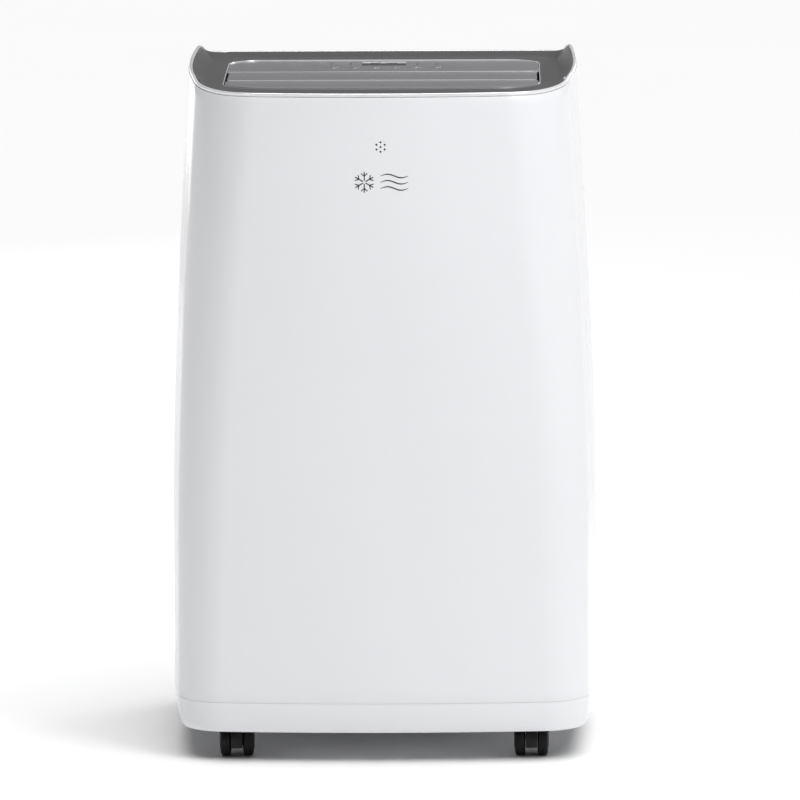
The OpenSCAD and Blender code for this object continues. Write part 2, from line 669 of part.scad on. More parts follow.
lower_c = [-62, 170];
lower_y0 = 30;
lower_y1 = 112;
lower_out = lower_fan_r + 20;
module lower_volute_2d(g) {
    translate(lower_c) circle(r = lower_out - g);
    translate([lower_c[0] - lower_out + g, lower_c[1]])
        square([outlet_r + 76 - 2 * g, part_z - 3 - lower_c[1] - g]);
}
module lower_scroll() color("lightgray")
    translate([0, lower_y0, 0]) rotate([90, 0, 0]) mirror([0, 0, 1])
        difference() {
            linear_extrude(lower_y1 - lower_y0) lower_volute_2d(0);
            translate([0, 0, 2.5]) linear_extrude(lower_y1 - lower_y0 - 5) lower_volute_2d(2.5);
            translate([lower_c[0], lower_c[1], lower_y1 - lower_y0 - 5]) cylinder(r = 56, h = 10);
            translate([outlet_x, outlet_z, lower_y1 - lower_y0 - 5])
                cylinder(r = outlet_r - 2, h = 10);
            translate([lower_c[0], lower_c[1], -1]) cylinder(r = 12, h = 10);
        }

// ---- Fan motors: a can on a mounting ring, with its shaft towards +Y ----
module motor(c, y0, can_r, can_l, ring_y, shaft_l) {
    translate([c[0], y0, c[1]]) rotate([-90, 0, 0]) {
        cylinder(r = can_r, h = can_l);
        translate([0, 0, ring_y]) cylinder(r = can_r + 9, h = 3);
        cylinder(r = 8, h = can_l + 4);
        cylinder(r = shaft_r, h = shaft_l);
    }
}
module upper_fan_motor() color("silver")
    motor(upper_c, mouth_y0 + 0.1, 44, 48, 0, 82);
module lower_fan_motor() color("silver")
    motor(lower_c, lower_y0 - 60, 40, 56, 56.9, 92);

// ---- Fan wheels: a disc with a hub, forward-curved blades and an end ring ----
module fan_wheel(c, y0, r, w, blades) {
    translate([c[0], y0, c[1]]) rotate([-90, 0, 0]) difference() {
        union() {
            cylinder(r = r, h = 2.5);
            cylinder(r = 12, h = 24);
            for (i = [0:blades - 1]) rotate([0, 0, i * 360 / blades])
                translate([r - 14, -0.8, 2]) rotate([0, 0, -20]) cube([13, 1.6, w - 3]);
            translate([0, 0, w - 3]) difference() {
                cylinder(r = r, h = 3);
                translate([0, 0, -1]) cylinder(r = r - 15, h = 5);
            }
        }
        translate([0, 0, -1]) cylinder(r = shaft_r + run_gap, h = 40);
    }
}
module upper_fan_wheel() color("dimgray") fan_wheel(upper_c, -54, upper_fan_r, 56, 30);
module lower_fan_wheel() color("dimgray") fan_wheel(lower_c, 42, lower_fan_r, 58, 28);

// ---- Compressor on three rubber grommets ----
comp_z0 = tray_z + tray_t + 16;
comp_r = 54;
comp_h = 190;
module compressor() color("dimgray")
    translate([foot_x, foot_y, comp_z0]) {
        rotate_extrude() polygon(concat(
            [[0, 0], [comp_r - 8, 0], [comp_r, 8], [comp_r, comp_h - 30]],
            [for (i = [0:5]) [comp_r * cos(15 * i), comp_h - 30 + 30 * sin(15 * i)]],
            [[0, comp_h]]));
        for (i = [0:2]) rotate([0, 0, foot_turn + 120 * i]) difference() {
            translate([comp_r - 14, -11, 0]) cube([30, 22, 3]);
            translate([foot_ring, 0, -1]) cylinder(r = 5.4, h = 5);
        }
        translate([0, 0, comp_h - 2]) cylinder(r = 5, h = 6);
        translate([18, 12, comp_h - 8]) cylinder(r = 5, h = 12);
        translate([-comp_r - 20, -8, 20]) cylinder(r = 17, h = 120);
        translate([-comp_r - 6, -12, 60]) cube([10, 8, 8]);
    }
module compressor_grommets() color("black")
    for (i = [0:2]) translate([foot_x, foot_y, tray_z + tray_t + 0.1])
        rotate([0, 0, foot_turn + 120 * i]) translate([foot_ring, 0, 0]) difference() {
            union() {
                cylinder(r = 10, h = 15.8);
                cylinder(r = 5.2, h = 21);
            }
            translate([0, 0, -1]) cylinder(r = 5.1, h = 5.5);
        }

// ---- Refrigerant pipes: straight runs with rounded elbows ----
module run(a, b) {
    v = b - a;
    len = norm(v);
    translate(a) rotate([0, acos(v[2] / len), atan2(v[1], v[0])]) cylinder(r = pipe_r, h = len);
    translate(b) sphere(r = pipe_r + 0.6);
}
module pipe(points) {
    for (i = [0:len(points) - 2]) run(points[i], points[i + 1]);
}
comp_top = comp_z0 + comp_h + 4.2;
module refrigerant_pipes() color("peru") {
    pipe([[foot_x, foot_y, comp_top], [foot_x, foot_y, comp_top + 26],
          [foot_x + 14, 132, comp_top + 26], [foot_x + 14, 132, 150]]);
    pipe([[foot_x + 18, foot_y + 12, comp_top + 0.2], [foot_x + 18, foot_y + 12, comp_top + 50],
          [pipe_x, pipe_y, comp_top + 74], [pipe_x, pipe_y, 450]]);
}

// ---- Electrical box in the upper half ----
module electrical_box() color("lightgray")
    translate([108, -96, 440]) difference() {
        cube([56, 150, 140]);
        translate([2, 2, 2]) cube([60, 146, 136]);
        for (i = [0:5]) translate([-1, 20 + 20 * i, 110]) cube([5, 8, 14]);
    }

// ---- Casters: hood with its stem, axle and two wheels ----
hood_gap = 12.4;            // between the wheels
trail = -9;                 // of the axle from the stem, forwards as stored
axle_r = 3;
module caster_hood(c) color("black")
    translate([c[1], c[2], 0]) difference() {
        union() {
            translate([0, 0, 2 * wheel_r - 6]) cylinder(r = stem_r, h = tray_z + socket_h + 1 - 2 * wheel_r);
            translate([0, 0, wheel_r + 6]) cylinder(r = hood_gap / 2 - 0.5, h = tray_z - wheel_r - 6.6);
            // web between the wheels
            translate([-hood_gap / 2 + 0.4, trail, wheel_r]) rotate([0, 90, 0])
                intersection() {
                    cylinder(r = wheel_r + 3, h = hood_gap - 0.8);
                    translate([-wheel_r - 4, -wheel_r - 4, -1])
                        cube([wheel_r + 13, 2 * wheel_r + 8, hood_gap + 2]);
                }
            // rounded cover over both wheels
            translate([-hood_gap / 2 - wheel_w - 0.2, trail, wheel_r]) rotate([0, 90, 0])
                difference() {
                    cylinder(r = wheel_r + 3, h = hood_gap + 2 * wheel_w + 0.4);
                    translate([0, 0, -1]) cylinder(r = wheel_r + 0.8, h = 60);
                    translate([-9, -40, -1]) cube([60, 80, 80]);
                }
        }
        along_x(-30, trail, wheel_r, axle_r, 60);
    }
module caster_axle(c) color("silver")
    along_x(c[1] - hood_gap / 2 - wheel_w + 2, c[2] + trail, wheel_r, axle_r,
            hood_gap + 2 * wheel_w - 4);
module caster_wheel(c, s) color("black")
    translate([c[1] + s * hood_gap / 2, c[2] + trail, wheel_r]) rotate([0, 90 * s, 0])
        difference() {
            rotate_extrude() polygon([[0, 0], [wheel_r - 4, 0], [wheel_r - 1, 0.4],
                [wheel_r, 1.2], [wheel_r, wheel_w - 2.7], [wheel_r - 0.8, wheel_w - 1.9],
                [wheel_r - 4, wheel_w - 0.9], [wheel_r - 9, wheel_w - 0.1], [6, wheel_w],
                [0, wheel_w]]);
            translate([0, 0, -1]) cylinder(r = axle_r + run_gap, h = wheel_w - 0.6);
            translate([0, 0, -1]) difference() {
                cylinder(r = wheel_r - 5, h = 7);
                cylinder(r = 5.5, h = 8);
            }
        }

base_pan();
front_panel();
rear_casing();
top_deck();
deck_trim();
control_panel();
display_window();
control_board();
outlet_throat();
swing_motor();
louvre_rear_blade();
louvre_front_blade();
louvre_link();
upper_filter_frame();
upper_filter_mesh();
lower_grille();
lower_filter_mesh();
exhaust_collar();
drain_cap_upper();
drain_cap_lower();
handle(-1);  // handle_left
handle(1);  // handle_right
cord_cleats();
cord_gland();
casing_screws();
partition_tray();
evaporator_coil();
condenser_coil();
upper_scroll();
upper_fan_motor();
upper_fan_wheel();
lower_scroll();
lower_fan_motor();
lower_fan_wheel();
compressor();
compressor_grommets();
refrigerant_pipes();
electrical_box();
for (k = KEYS)
    key(k);
for (c = CASTERS) {
    caster_hood(c);
    caster_axle(c);
    caster_wheel(c, -1);
    caster_wheel(c, 1);
}
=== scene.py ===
import math

import bpy
from bpy.props import FloatProperty, FloatVectorProperty, IntProperty, PointerProperty
from mathutils import Matrix, Vector


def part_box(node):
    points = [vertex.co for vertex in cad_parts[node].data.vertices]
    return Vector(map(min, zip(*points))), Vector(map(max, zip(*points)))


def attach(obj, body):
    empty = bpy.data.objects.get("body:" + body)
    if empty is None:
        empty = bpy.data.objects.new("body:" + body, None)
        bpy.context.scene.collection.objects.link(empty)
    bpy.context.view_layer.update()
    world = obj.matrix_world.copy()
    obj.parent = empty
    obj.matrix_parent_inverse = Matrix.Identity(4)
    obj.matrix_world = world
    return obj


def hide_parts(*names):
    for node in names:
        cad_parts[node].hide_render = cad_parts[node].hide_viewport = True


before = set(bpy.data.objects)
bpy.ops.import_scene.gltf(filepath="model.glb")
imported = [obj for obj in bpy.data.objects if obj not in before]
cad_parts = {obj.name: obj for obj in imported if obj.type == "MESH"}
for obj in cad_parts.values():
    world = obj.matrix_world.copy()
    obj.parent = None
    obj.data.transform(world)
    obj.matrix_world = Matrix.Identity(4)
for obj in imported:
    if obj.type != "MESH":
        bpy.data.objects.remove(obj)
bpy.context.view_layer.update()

bl_info = {
    "name": "Portable air conditioner",
    "version": (1, 0, 0),
    "blender": (4, 5, 0),
    "location": "3D View > Sidebar > Cooler",
    "description": "Builds the skins and finishes of a portable air conditioner round its frame",
    "category": "Object",
}

MM = 0.001
KEY_NAMES = ("power", "mode", "fan", "down", "up", "timer")
CORNERS = ("fl", "fr", "rl", "rr")

# Places and sizes that no slider sets, in millimetres.
CREASE = 0.14                       # gap between the shells and the base tray
STEP = 1.1                          # each plate of the lid stands this much above the next
INLAY_HIGHLIGHT_WIDTH = 0.6                          # width of the bright strip on a lid plate's front edge, partly a silver inlay and partly a painted highlight of the lit edge
KEY_PITCH, KEY_BACK = 21, 39        # of the keys, and their row behind the panel's front edge
SHOW_BACK = 73                      # middle of the display behind the panel's front edge
RECEIVER_Z = 625
GRIP_Y, GRIP_Z = 40, 575
UPPER_GRILLE = (0, 540, 326, 212)   # middle x, middle z, width, height
LOWER_GRILLE = (-28, 166, 264, 158)
OUTLET_X, OUTLET_Z, OUTLET_R = -80, 335, 66
WHEEL_R, WHEEL_W, WHEEL_GAP, TRAIL = 18.0, 11.4, 12.4, -9.0
LEAST = 1e-6                        # two points nearer than this are one


# ---- Sizes and colours ----

def length(name, text, mm):
    return FloatProperty(name=name, description=text, default=mm * MM, subtype="DISTANCE",
                         unit="LENGTH", min=0.0)


def colour(name, text, value):
    return FloatVectorProperty(name=name, description=text, default=value, subtype="COLOR",
                               size=3, min=0.0, max=1.0)


class CabinetSizes(bpy.types.PropertyGroup):
    """Sizes of the moulded cabinet"""
    depth: length("Depth", "Front face to rear face", 334)
    width: length("Width", "Widest part of the cabinet", 433)
    lip: length("Lip height", "Front lip of the deck above the floor", 678)
    foot: length("Ground gap", "Clear gap under the cabinet", 31)
    skirt: length("Skirt", "Height of the base tray's skirt", 31)
    wall: length("Wall", "Thickness of the shells", 3)
    taper: length("Side taper", "How far each side leans in at the top", 19.3)
    lean: length("Front lean", "How far the front leans back at the top", 14)
    foot_radius: length("Foot corner", "Front corner radius at the foot", 42)
    deck_radius: length("Deck corner", "Front corner radius at the deck", 58)
    rear_radius: length("Rear corner", "Rear corner radius", 34)
    wrap: length("Panel wrap", "How far the front panel runs round the sides", 85)
    wing: length("Wing rise", "Side wings above the front lip", 17.5)
    back: length("Back rise", "Rear edge above the front lip", 6)
    proud: length("Collar", "Outlet collar proud of the rear face", 6)
    bead: length("Bead", "Width of the bright bead round the deck", 3.5)
    face: length("Bead face", "Height of the bead's face", 2.4)
    groove: length("Groove", "Height of the groove under the bead", 1.2)
    steps: IntProperty(name="Corner steps", description="Segments in a corner", default=22,
                       min=4, max=64)


class DeckSizes(bpy.types.PropertyGroup):
    """Sizes of the deck's lid group"""
    half: length("Lid half width", "Half width of the lid opening", 159)
    louvre: length("Louvre depth", "Depth that the two blades fill", 138.6)
    control: length("Control depth", "Depth of the control panel", 101)
    gap: length("Blade gap", "Gap round each blade", 1.4)
    blade: length("Blade", "Thickness of a blade", 3)
    key: length("Key radius", "Radius of a key cap", 6)


class FinishColours(bpy.types.PropertyGroup):
    """Colours of the finishes"""
    shell: colour("Shell", "Gloss white plastic", (0.80, 0.805, 0.825))
    deck: colour("Deck", "Satin metallic grey", (0.15, 0.15, 0.154))
    trim: colour("Trim", "Bright silver", (0.86, 0.86, 0.88))
    black: colour("Casters", "Black nylon", (0.008, 0.008, 0.009))


# ---- Outline of the cabinet ----

def lerp(a, b, t):
    return a + (b - a) * t


def clamp01(t):
    return min(1.0, max(0.0, t))


def ease(t):
    u = clamp01(t)
    return u * u * (3 - 2 * u)


def arc(cx, cy, r, a0, a1, n):
    """Points of an arc from one angle to another, in degrees."""
    turns = [math.radians(lerp(a0, a1, i / n)) for i in range(n + 1)]
    return [(cx + r * math.cos(a), cy + r * math.sin(a)) for a in turns]


class Form:
    """The cabinet's outlines, in millimetres, from the add-on's sizes."""

    def __init__(self, scene):
        c, d = scene.cooler_cabinet, scene.cooler_deck
        for key in ("depth", "width", "lip", "foot", "skirt", "wall", "taper", "lean",
                    "foot_radius", "deck_radius", "rear_radius", "wrap", "wing", "back",
                    "proud", "bead", "groove"):
            setattr(self, key, getattr(c, key) / MM)
        self.bead_face = c.face / MM
        self.shell_drop = self.bead_face + self.groove + 0.3
        for key in ("half", "louvre", "control", "gap", "blade", "key"):
            setattr(self, key, getattr(d, key) / MM)
        self.n = c.steps
        self.front = -(self.depth + self.proud) / 2
        self.rear = self.front + self.depth
        self.wide = self.front + 190
        self.seam = self.front + self.wrap
        self.inner = self.seam + 32
        self.base_top = self.foot + self.skirt
        self.floor = self.lip + 1
        self.lip_y = self.front + self.lean
        self.lid0 = self.lip_y + 38
        self.lid1 = self.lid0 + self.louvre
        self.lid2 = self.lid1 + self.control
        self.pivot = self.floor - 10
        pitch = self.louvre / 2
        self.pitch = pitch
        self.blade_y = (self.lid1 - pitch / 2, self.lid0 + pitch / 2)

    def rise(self, z):
        return clamp01((z - 250) / (self.lip - 250)) ** 1.5

    def up(self, z):
        return clamp01((z - self.base_top) / (self.lip - self.base_top))

    def half_w(self, z):
        return self.width / 2 - self.taper * self.rise(z)

    def face(self, z):
        return self.front + self.lean * self.rise(z)

    def ahead(self, w, yf, ys, r, inset):
        """Open outline round the front, from the left side to the right."""
        side = [lerp(ys, yf + r, i / 8) for i in range(8)]
        return ([(-w + inset, y) for y in side]
                + arc(-w + r, yf + r, r - inset, 180, 270, self.n)
                + [(lerp(-w + r, w - r, i / 40), yf + inset) for i in range(1, 40)]
                + arc(w - r, yf + r, r - inset, 270, 360, self.n)
                + [(w - inset, y) for y in side[::-1]])

    def behind(self, w, yb, ys, r, inset):
        """Open outline round the back, from the right side to the left."""
        side = [lerp(ys, yb - r, i / 20) for i in range(20)]
        return ([(w - inset, y) for y in side]
                + arc(w - r, yb - r, r - inset, 0, 90, self.n)
                + arc(-w + r, yb - r, r - inset, 90, 180, self.n)
                + [(-w + inset, y) for y in side[::-1]])

    def swell(self, p, w, yf, yb, kf, kr, bow):
        """Draws the sides in towards the front and the back, and bows the front."""
        a = clamp01((self.wide - p[1]) / (self.wide - yf))
        b = clamp01((p[1] - self.wide) / (yb - self.wide))
        return (p[0] * (1 - kf * a * a - kr * b * b), p[1] + bow * (p[0] / w) ** 2 * a * a)

    def body(self, points, z):
        w, yf, t = self.half_w(z), self.face(z), self.up(z)
        return [self.swell(p, w, yf, self.rear, lerp(0.06, 0.105, t), 0.05, lerp(12, 18, t))
                for p in points]

    def front_line(self, z, inset):
        r = lerp(self.foot_radius, self.deck_radius, self.up(z))
        return self.body(self.ahead(self.half_w(z), self.face(z), self.seam, r, inset), z)

    def rear_line(self, z, inset):
        return self.body(self.behind(self.half_w(z), self.rear, self.seam, self.rear_radius,
                                     inset), z)

    def body_line(self, z, inset):
        return self.front_line(z, inset) + self.rear_line(z, inset)[1:-1]

    def rim(self, p):
        """Height of the top edge over a point of the outline."""
        swing = ease((p[1] - self.lip_y - 16) / 80)
        climb = clamp01((p[1] - self.lip_y - 96) / (self.rear - self.lip_y - 148))
        fall = ease((p[1] - self.rear + 52) / 46)
        return (self.lip + self.wing * (0.54 * swing + 0.46 * climb)
                - (self.wing - self.back) * fall)

    def closed(self, w, yf, yb, rf, rr, kf, kr, bow):
        line = (self.ahead(w, yf, self.inner, rf, 0)
                + self.behind(w, yb, self.inner, rr, 0)[1:-1])
        return [self.swell(p, w, yf, yb, kf, kr, bow) for p in line]

    def lid_line(self, grow):
        return self.closed(self.half + grow, self.lid0 - grow, self.lid2 + grow, 44, 34,
                           0, 0, 9)

    def floor_line(self):
        return self.closed(178, self.lip_y + 29, self.rear - 24, 50, 28, 0.02, 0.015, 10)

    def shell_rows(self, line_at):
        """Rows of points from the crease up to the rim, along the outline's own lines."""
        tops = [self.rim(p) - self.shell_drop for p in line_at(self.lip, 0)]
        rows = []
        for k in range(61):
            lines, row = {}, []
            for i, top in enumerate(tops):
                z = lerp(self.base_top + CREASE, top, k / 60)
                key = round(z, 3)
                if key not in lines:
                    lines[key] = line_at(z, 0)
                row.append((*lines[key][i], z))
            rows.append(row)
        return rows

    def caster_y(self, corner):
        return self.front + 54 if corner[0] == "f" else self.rear - 50

    def face_at(self, x, z):
        """Front surface at a place near the middle."""
        line = self.front_line(z, 0)
        for a, b in zip(line, line[1:]):
            if a[0] <= x <= b[0] and a[1] < self.front + 60:
                return lerp(a[1], b[1], (x - a[0]) / (b[0] - a[0]))
        return self.face(z)


# ---- Modelling helpers ----

def clear_selection():
    if bpy.context.object and bpy.context.object.mode != "OBJECT":
        bpy.ops.object.mode_set(mode="OBJECT")
    bpy.ops.object.select_all(action="DESELECT")


def pick(piece):
    clear_selection()
    piece.select_set(True)
    bpy.context.view_layer.objects.active = piece
    return piece


def named(name):
    piece = bpy.context.object
    piece.name = name
    piece.data.name = name
    return piece


def settle(piece):
    """Puts the place of a piece into its mesh."""
    pick(piece)
    bpy.ops.object.transform_apply(location=True, rotation=True, scale=True)
    return piece


def edit(piece, *steps):
    """Runs edit-mode operators on the whole mesh of a piece."""
    pick(piece)
    bpy.ops.object.mode_set(mode="EDIT")
    bpy.ops.mesh.select_mode(type="FACE")
    bpy.ops.mesh.select_all(action="SELECT")
    for step, settings in steps:
        getattr(bpy.ops.mesh, step)(**settings)
    bpy.ops.object.mode_set(mode="OBJECT")
    return piece


def weld(piece):
    return edit(piece, ("remove_doubles", {"threshold": LEAST}),
                ("normals_make_consistent", {"inside": False}))


def modify(piece, kind, **settings):
    """Adds a modifier and applies it."""
    pick(piece)
    mod = piece.modifiers.new(kind.title(), kind)
    for key, value in settings.items():
        setattr(mod, key, value)
    bpy.ops.object.modifier_apply(modifier=mod.name)
    return piece


def soften(piece, width, segments=2, angle=40):
    return modify(piece, "BEVEL", width=width * MM, segments=segments, limit_method="ANGLE",
                  angle_limit=math.radians(angle), use_clamp_overlap=True)


def smooth(piece, angle=32):
    pick(piece)
    bpy.ops.object.shade_smooth_by_angle(angle=math.radians(angle))
    return piece


def set_points(piece, points):
    piece.data.vertices.foreach_set("co", [c * MM for p in points for c in p])
    piece.data.update()


def grid_piece(name, rows, outwards=None):
    """A grid primitive laid over rows of points; a point list is in millimetres."""
    clear_selection()
    bpy.ops.mesh.primitive_grid_add(x_subdivisions=len(rows[0]) - 1,
                                    y_subdivisions=len(rows) - 1)
    piece = named(name)
    set_points(piece, [p for row in rows for p in row])
    if outwards is not None:
        centre = Vector(outwards) * MM
        facing = sum(f.normal.dot(f.center - centre) * f.area for f in piece.data.polygons)
        edit(piece, ("remove_doubles", {"threshold": LEAST}))
        if facing < 0:
            edit(piece, ("flip_normals", {}))
    return piece


def along(line, height, steps):
    """A row of points on an outline for each (inset, rise) step."""
    return [[(*p, height(p) + z) for p in line(inset)] for inset, z in steps]


def ring_piece(name, rows):
    """A closed section swept round a closed outline: both ways meet themselves."""
    rows = [list(row) + [row[0]] for row in list(rows) + [rows[0]]]
    return weld(grid_piece(name, rows))


def prism(name, outline, place, height):
    """A filled circle primitive reshaped to an outline and extruded along its normal."""
    clear_selection()
    bpy.ops.mesh.primitive_circle_add(vertices=len(outline), fill_type="NGON")
    piece = named(name)
    set_points(piece, [place(*p, 0) for p in outline])
    pick(piece)
    bpy.ops.object.mode_set(mode="EDIT")
    bpy.ops.mesh.select_all(action="SELECT")
    step = Vector(place(*outline[0], height)) - Vector(place(*outline[0], 0))
    bpy.ops.mesh.extrude_region_move(TRANSFORM_OT_translate={"value": step * MM})
    bpy.ops.object.mode_set(mode="OBJECT")
    return edit(piece, ("normals_make_consistent", {"inside": False}))


def lathe(name, profile, centre, axis, steps=64):
    """A closed profile of (radius, along) spun round an axis through centre."""
    axis = Vector(axis).normalized()
    side = axis.orthogonal().normalized()
    origin = Vector(centre)
    clear_selection()
    bpy.ops.mesh.primitive_circle_add(vertices=len(profile), fill_type="NOTHING")
    piece = named(name)
    set_points(piece, [origin + side * r + axis * a for r, a in profile])
    pick(piece)
    bpy.ops.object.mode_set(mode="EDIT")
    bpy.ops.mesh.select_all(action="SELECT")
    bpy.ops.mesh.spin(steps=steps, angle=2 * math.pi, center=origin * MM, axis=axis,
                      use_auto_merge=True)
    bpy.ops.object.mode_set(mode="OBJECT")
    edit(piece, ("remove_doubles", {"threshold": LEAST}))
    return edit(piece, ("dissolve_degenerate", {"threshold": 1e-7}),
                ("normals_make_consistent", {"inside": False}))


def box_piece(name, low, high, radius=0.0, segments=2):
    clear_selection()
    bpy.ops.mesh.primitive_cube_add(size=1)
    piece = named(name)
    low, high = Vector(low) * MM, Vector(high) * MM
    piece.scale = high - low
    piece.location = (low + high) / 2
    settle(piece)
    return soften(piece, radius, segments) if radius else piece


def rod(name, centre, axis, radius, height, vertices=48, round_=0.0):
    """A cylinder from centre along an axis."""
    clear_selection()
    bpy.ops.mesh.primitive_cylinder_add(vertices=vertices, radius=radius * MM,
                                        depth=height * MM)
    piece = named(name)
    axis = Vector(axis).normalized()
    turn = axis.to_track_quat("Z", "Y").to_matrix().to_4x4()
    piece.matrix_world = Matrix.Translation((Vector(centre) + axis * height / 2) * MM) @ turn
    settle(piece)
    return soften(piece, round_, 2) if round_ else piece


def merge(name, pieces):
    """Joins pieces into one."""
    clear_selection()
    for piece in pieces:
        piece.select_set(True)
    bpy.context.view_layer.objects.active = pieces[0]
    if len(pieces) > 1:
        bpy.ops.object.join()
    return named(name)


def cut(piece, cutters):
    """Takes solid cutters out of a piece."""
    tool = merge("cutter", cutters)
    modify(piece, "BOOLEAN", operation="DIFFERENCE", solver="EXACT", object=tool)
    bpy.data.objects.remove(tool)
    return piece


def rounded(w, h, r, n=8):
    """A rounded rectangle about its middle."""
    return [p for sx, sy, a in ((1, 1, 0), (-1, 1, 90), (-1, -1, 180), (1, -1, 270))
            for p in arc(sx * (w / 2 - r), sy * (h / 2 - r), r, a, a + 90, n)]


def on_rear(y, x0=0.0, z0=0.0):
    """Places a flat outline on a plane facing +Y."""
    return lambda u, v, h: (x0 + u, y + h, z0 + v)


def across(x, y0=0.0, z0=0.0, way=1):
    """Places a flat outline on a plane facing along X."""
    return lambda u, v, h: (x + way * h, y0 + u, z0 + v)


def on_top(z, x0=0.0, y0=0.0):
    """Places a flat outline on a level plane."""
    return lambda u, v, h: (x0 + u, y0 + v, z + h)


def give(piece, finish, body, nodes):
    """Finish, body, CAD nodes and slot of a new piece."""
    piece.data.materials.clear()
    piece.data.materials.append(FINISH[finish])
    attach(piece, body)
    if nodes:
        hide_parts(*nodes)


def dress(finish, *nodes):
    """Gives CAD nodes a finish."""
    for name in nodes:
        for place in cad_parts[name].material_slots:
            place.material = FINISH[finish]


def middle_x(node):
    low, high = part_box(node)
    return (low.x + high.x) / 2 / MM


# ---- Materials ----

class Wire:
    """A socket that takes arithmetic."""

    def __init__(self, shader, socket):
        self.shader, self.socket = shader, socket

    def op(self, operation, *values):
        return self.shader.node("ShaderNodeMath", {"operation": operation},
                                dict(enumerate(values)))

    def __add__(self, other):
        return self.op("ADD", self, other)

    def __rsub__(self, other):
        return self.op("SUBTRACT", other, self)

    def __mul__(self, other):
        return self.op("MULTIPLY", self, other)

    __radd__, __rmul__ = __add__, __mul__

    def over(self, limit):
        return self.op("GREATER_THAN", self, limit)

    def wave(self, pitch):
        return self.op("SINE", self * (2 * math.pi / pitch))


class Shader:
    """A material and its nodes."""

    def __init__(self, name, **constants):
        self.material = bpy.data.materials.new(name)
        self.material.use_nodes = True
        self.tree = self.material.node_tree
        self.main = self.tree.nodes["Principled BSDF"]
        self.feed(**constants)

    def node(self, kind, settings=None, sockets=None, out=0):
        made = self.tree.nodes.new(kind)
        for key, value in (settings or {}).items():
            setattr(made, key, value)
        for key, value in (sockets or {}).items():
            self.join(value, made.inputs[key])
        return Wire(self, made.outputs[out])

    def join(self, value, socket):
        if isinstance(value, Wire):
            self.tree.links.new(value.socket, socket)
        else:
            if hasattr(value, "__len__"):
                value = (*value, 1.0)[:len(socket.default_value)]
            socket.default_value = value

    def place(self):
        return self.node("ShaderNodeTexCoord", out="Object")

    def noise(self, scale, detail=2.0, rough=0.5, at=None):
        return self.node("ShaderNodeTexNoise", None,
                         {"Vector": at or self.place(), "Scale": scale, "Detail": detail,
                          "Roughness": rough}, out=0)

    def mix(self, factor, a, b):
        made = self.tree.nodes.new("ShaderNodeMix")
        made.data_type = "RGBA"
        self.join(factor, made.inputs[0])
        self.join(a, made.inputs[6])
        self.join(b, made.inputs[7])
        return Wire(self, made.outputs[2])

    def bump(self, height, distance, strength=1.0):
        return self.node("ShaderNodeBump", None,
                         {"Height": height, "Distance": distance, "Strength": strength})

    def feed(self, **values):
        for key, value in values.items():
            self.join(value, self.main.inputs[key.replace("_", " ")])
        return self.material


def tint(shade, k):
    return tuple(min(1.0, c * k) for c in shade)


def moulded(name, shade, rough, peel=0.00002, coat=0.0, spread=0.05, grain=700.0, shine=0.5):
    """Moulded plastic: faint tone drift, uneven gloss and a fine skin texture."""
    s = Shader(name, IOR=1.5, Coat_Weight=coat, Coat_Roughness=0.06, Specular_IOR_Level=shine)
    drift = s.noise(6.0, 3.0)
    fine = s.noise(grain, 2.0)
    wipe = s.noise(28.0, 4.0, 0.6)
    return s.feed(Base_Color=s.mix(drift, tint(shade, 1 - spread), tint(shade, 1 + spread * 0.4)),
                  Roughness=wipe * 0.10 + (rough - 0.05),
                  Normal=s.bump(fine, peel, 0.5))


def painted(name, shade, rough, metal):
    """Metallic paint: fine flake over a satin base."""
    s = Shader(name, IOR=1.5, Coat_Weight=0.15, Coat_Roughness=0.2)
    flake = s.noise(2600.0, 1.0)
    wipe = s.noise(20.0, 4.0, 0.6)
    drift = s.noise(7.0, 2.0)
    base = s.mix(drift, tint(shade, 0.95), tint(shade, 1.04))
    return s.feed(Base_Color=s.mix(flake * 0.5, base, tint(shade, 1.22)),
                  Metallic=metal, Roughness=wipe * 0.10 + (rough - 0.05) + flake * 0.04,
                  Normal=s.bump(flake, 0.000012, 0.35))


def bright(name, shade, rough, grain=0.0):
    """Bare or plated metal, with a drawn grain where wanted."""
    s = Shader(name, Metallic=1.0)
    scale = (40.0, 900.0, 900.0) if grain else (300.0,) * 3
    stretch = s.node("ShaderNodeMapping", {"vector_type": "POINT"},
                     {"Vector": s.place(), "Scale": scale})
    fine = s.noise(1.0, 2.0, at=stretch)
    wipe = s.noise(40.0, 3.0)
    return s.feed(Base_Color=s.mix(wipe, tint(shade, 0.88), shade),
                  Roughness=wipe * 0.14 + fine * 0.08 + (rough - 0.10),
                  Normal=s.bump(fine, 0.00001 + grain, 0.4))


def striped(name, shade, painted_gap_shadow, pitch, rough, metal, axis):
    """Thin fins side by side along an axis, with painted shadow in the gaps between them."""
    s = Shader(name, Metallic=metal)
    part = s.node("ShaderNodeSeparateXYZ", None, {0: s.place()}, out=axis)
    wave = part.wave(pitch)
    mask = wave.over(0.1)
    wipe = s.noise(60.0, 3.0)
    # Fins take the light colour; the gaps between them take painted shadow, a dark colour
    # standing in for the shade between the fins.
    return s.feed(Base_Color=s.mix(mask, painted_gap_shadow, shade), Roughness=wipe * 0.2 + rough,
                  Normal=s.bump(wave, 0.0003, 0.8))


def woven(name, shade, pitch):
    """Fine mesh: threads crossing at a small pitch, with painted shade in the openings between
    them.
    """
    s = Shader(name, Roughness=0.6)
    place = s.place()
    threads = []
    for axis in (0, 2):
        part = s.node("ShaderNodeSeparateXYZ", None, {0: place}, out=axis)
        threads.append(s.node("ShaderNodeMath", {"operation": "ABSOLUTE"}, {0: part.wave(pitch)}))
    thread = threads[0].op("MINIMUM", *threads)
    # Threads keep the mesh colour; the openings get painted shade, a much darker colour standing
    # in for the shaded inside seen through them.
    return s.feed(Base_Color=s.mix(thread.over(0.35), shade, tint(shade, 0.22)),
                  Normal=s.bump(1 - thread, 0.0003, 0.8))


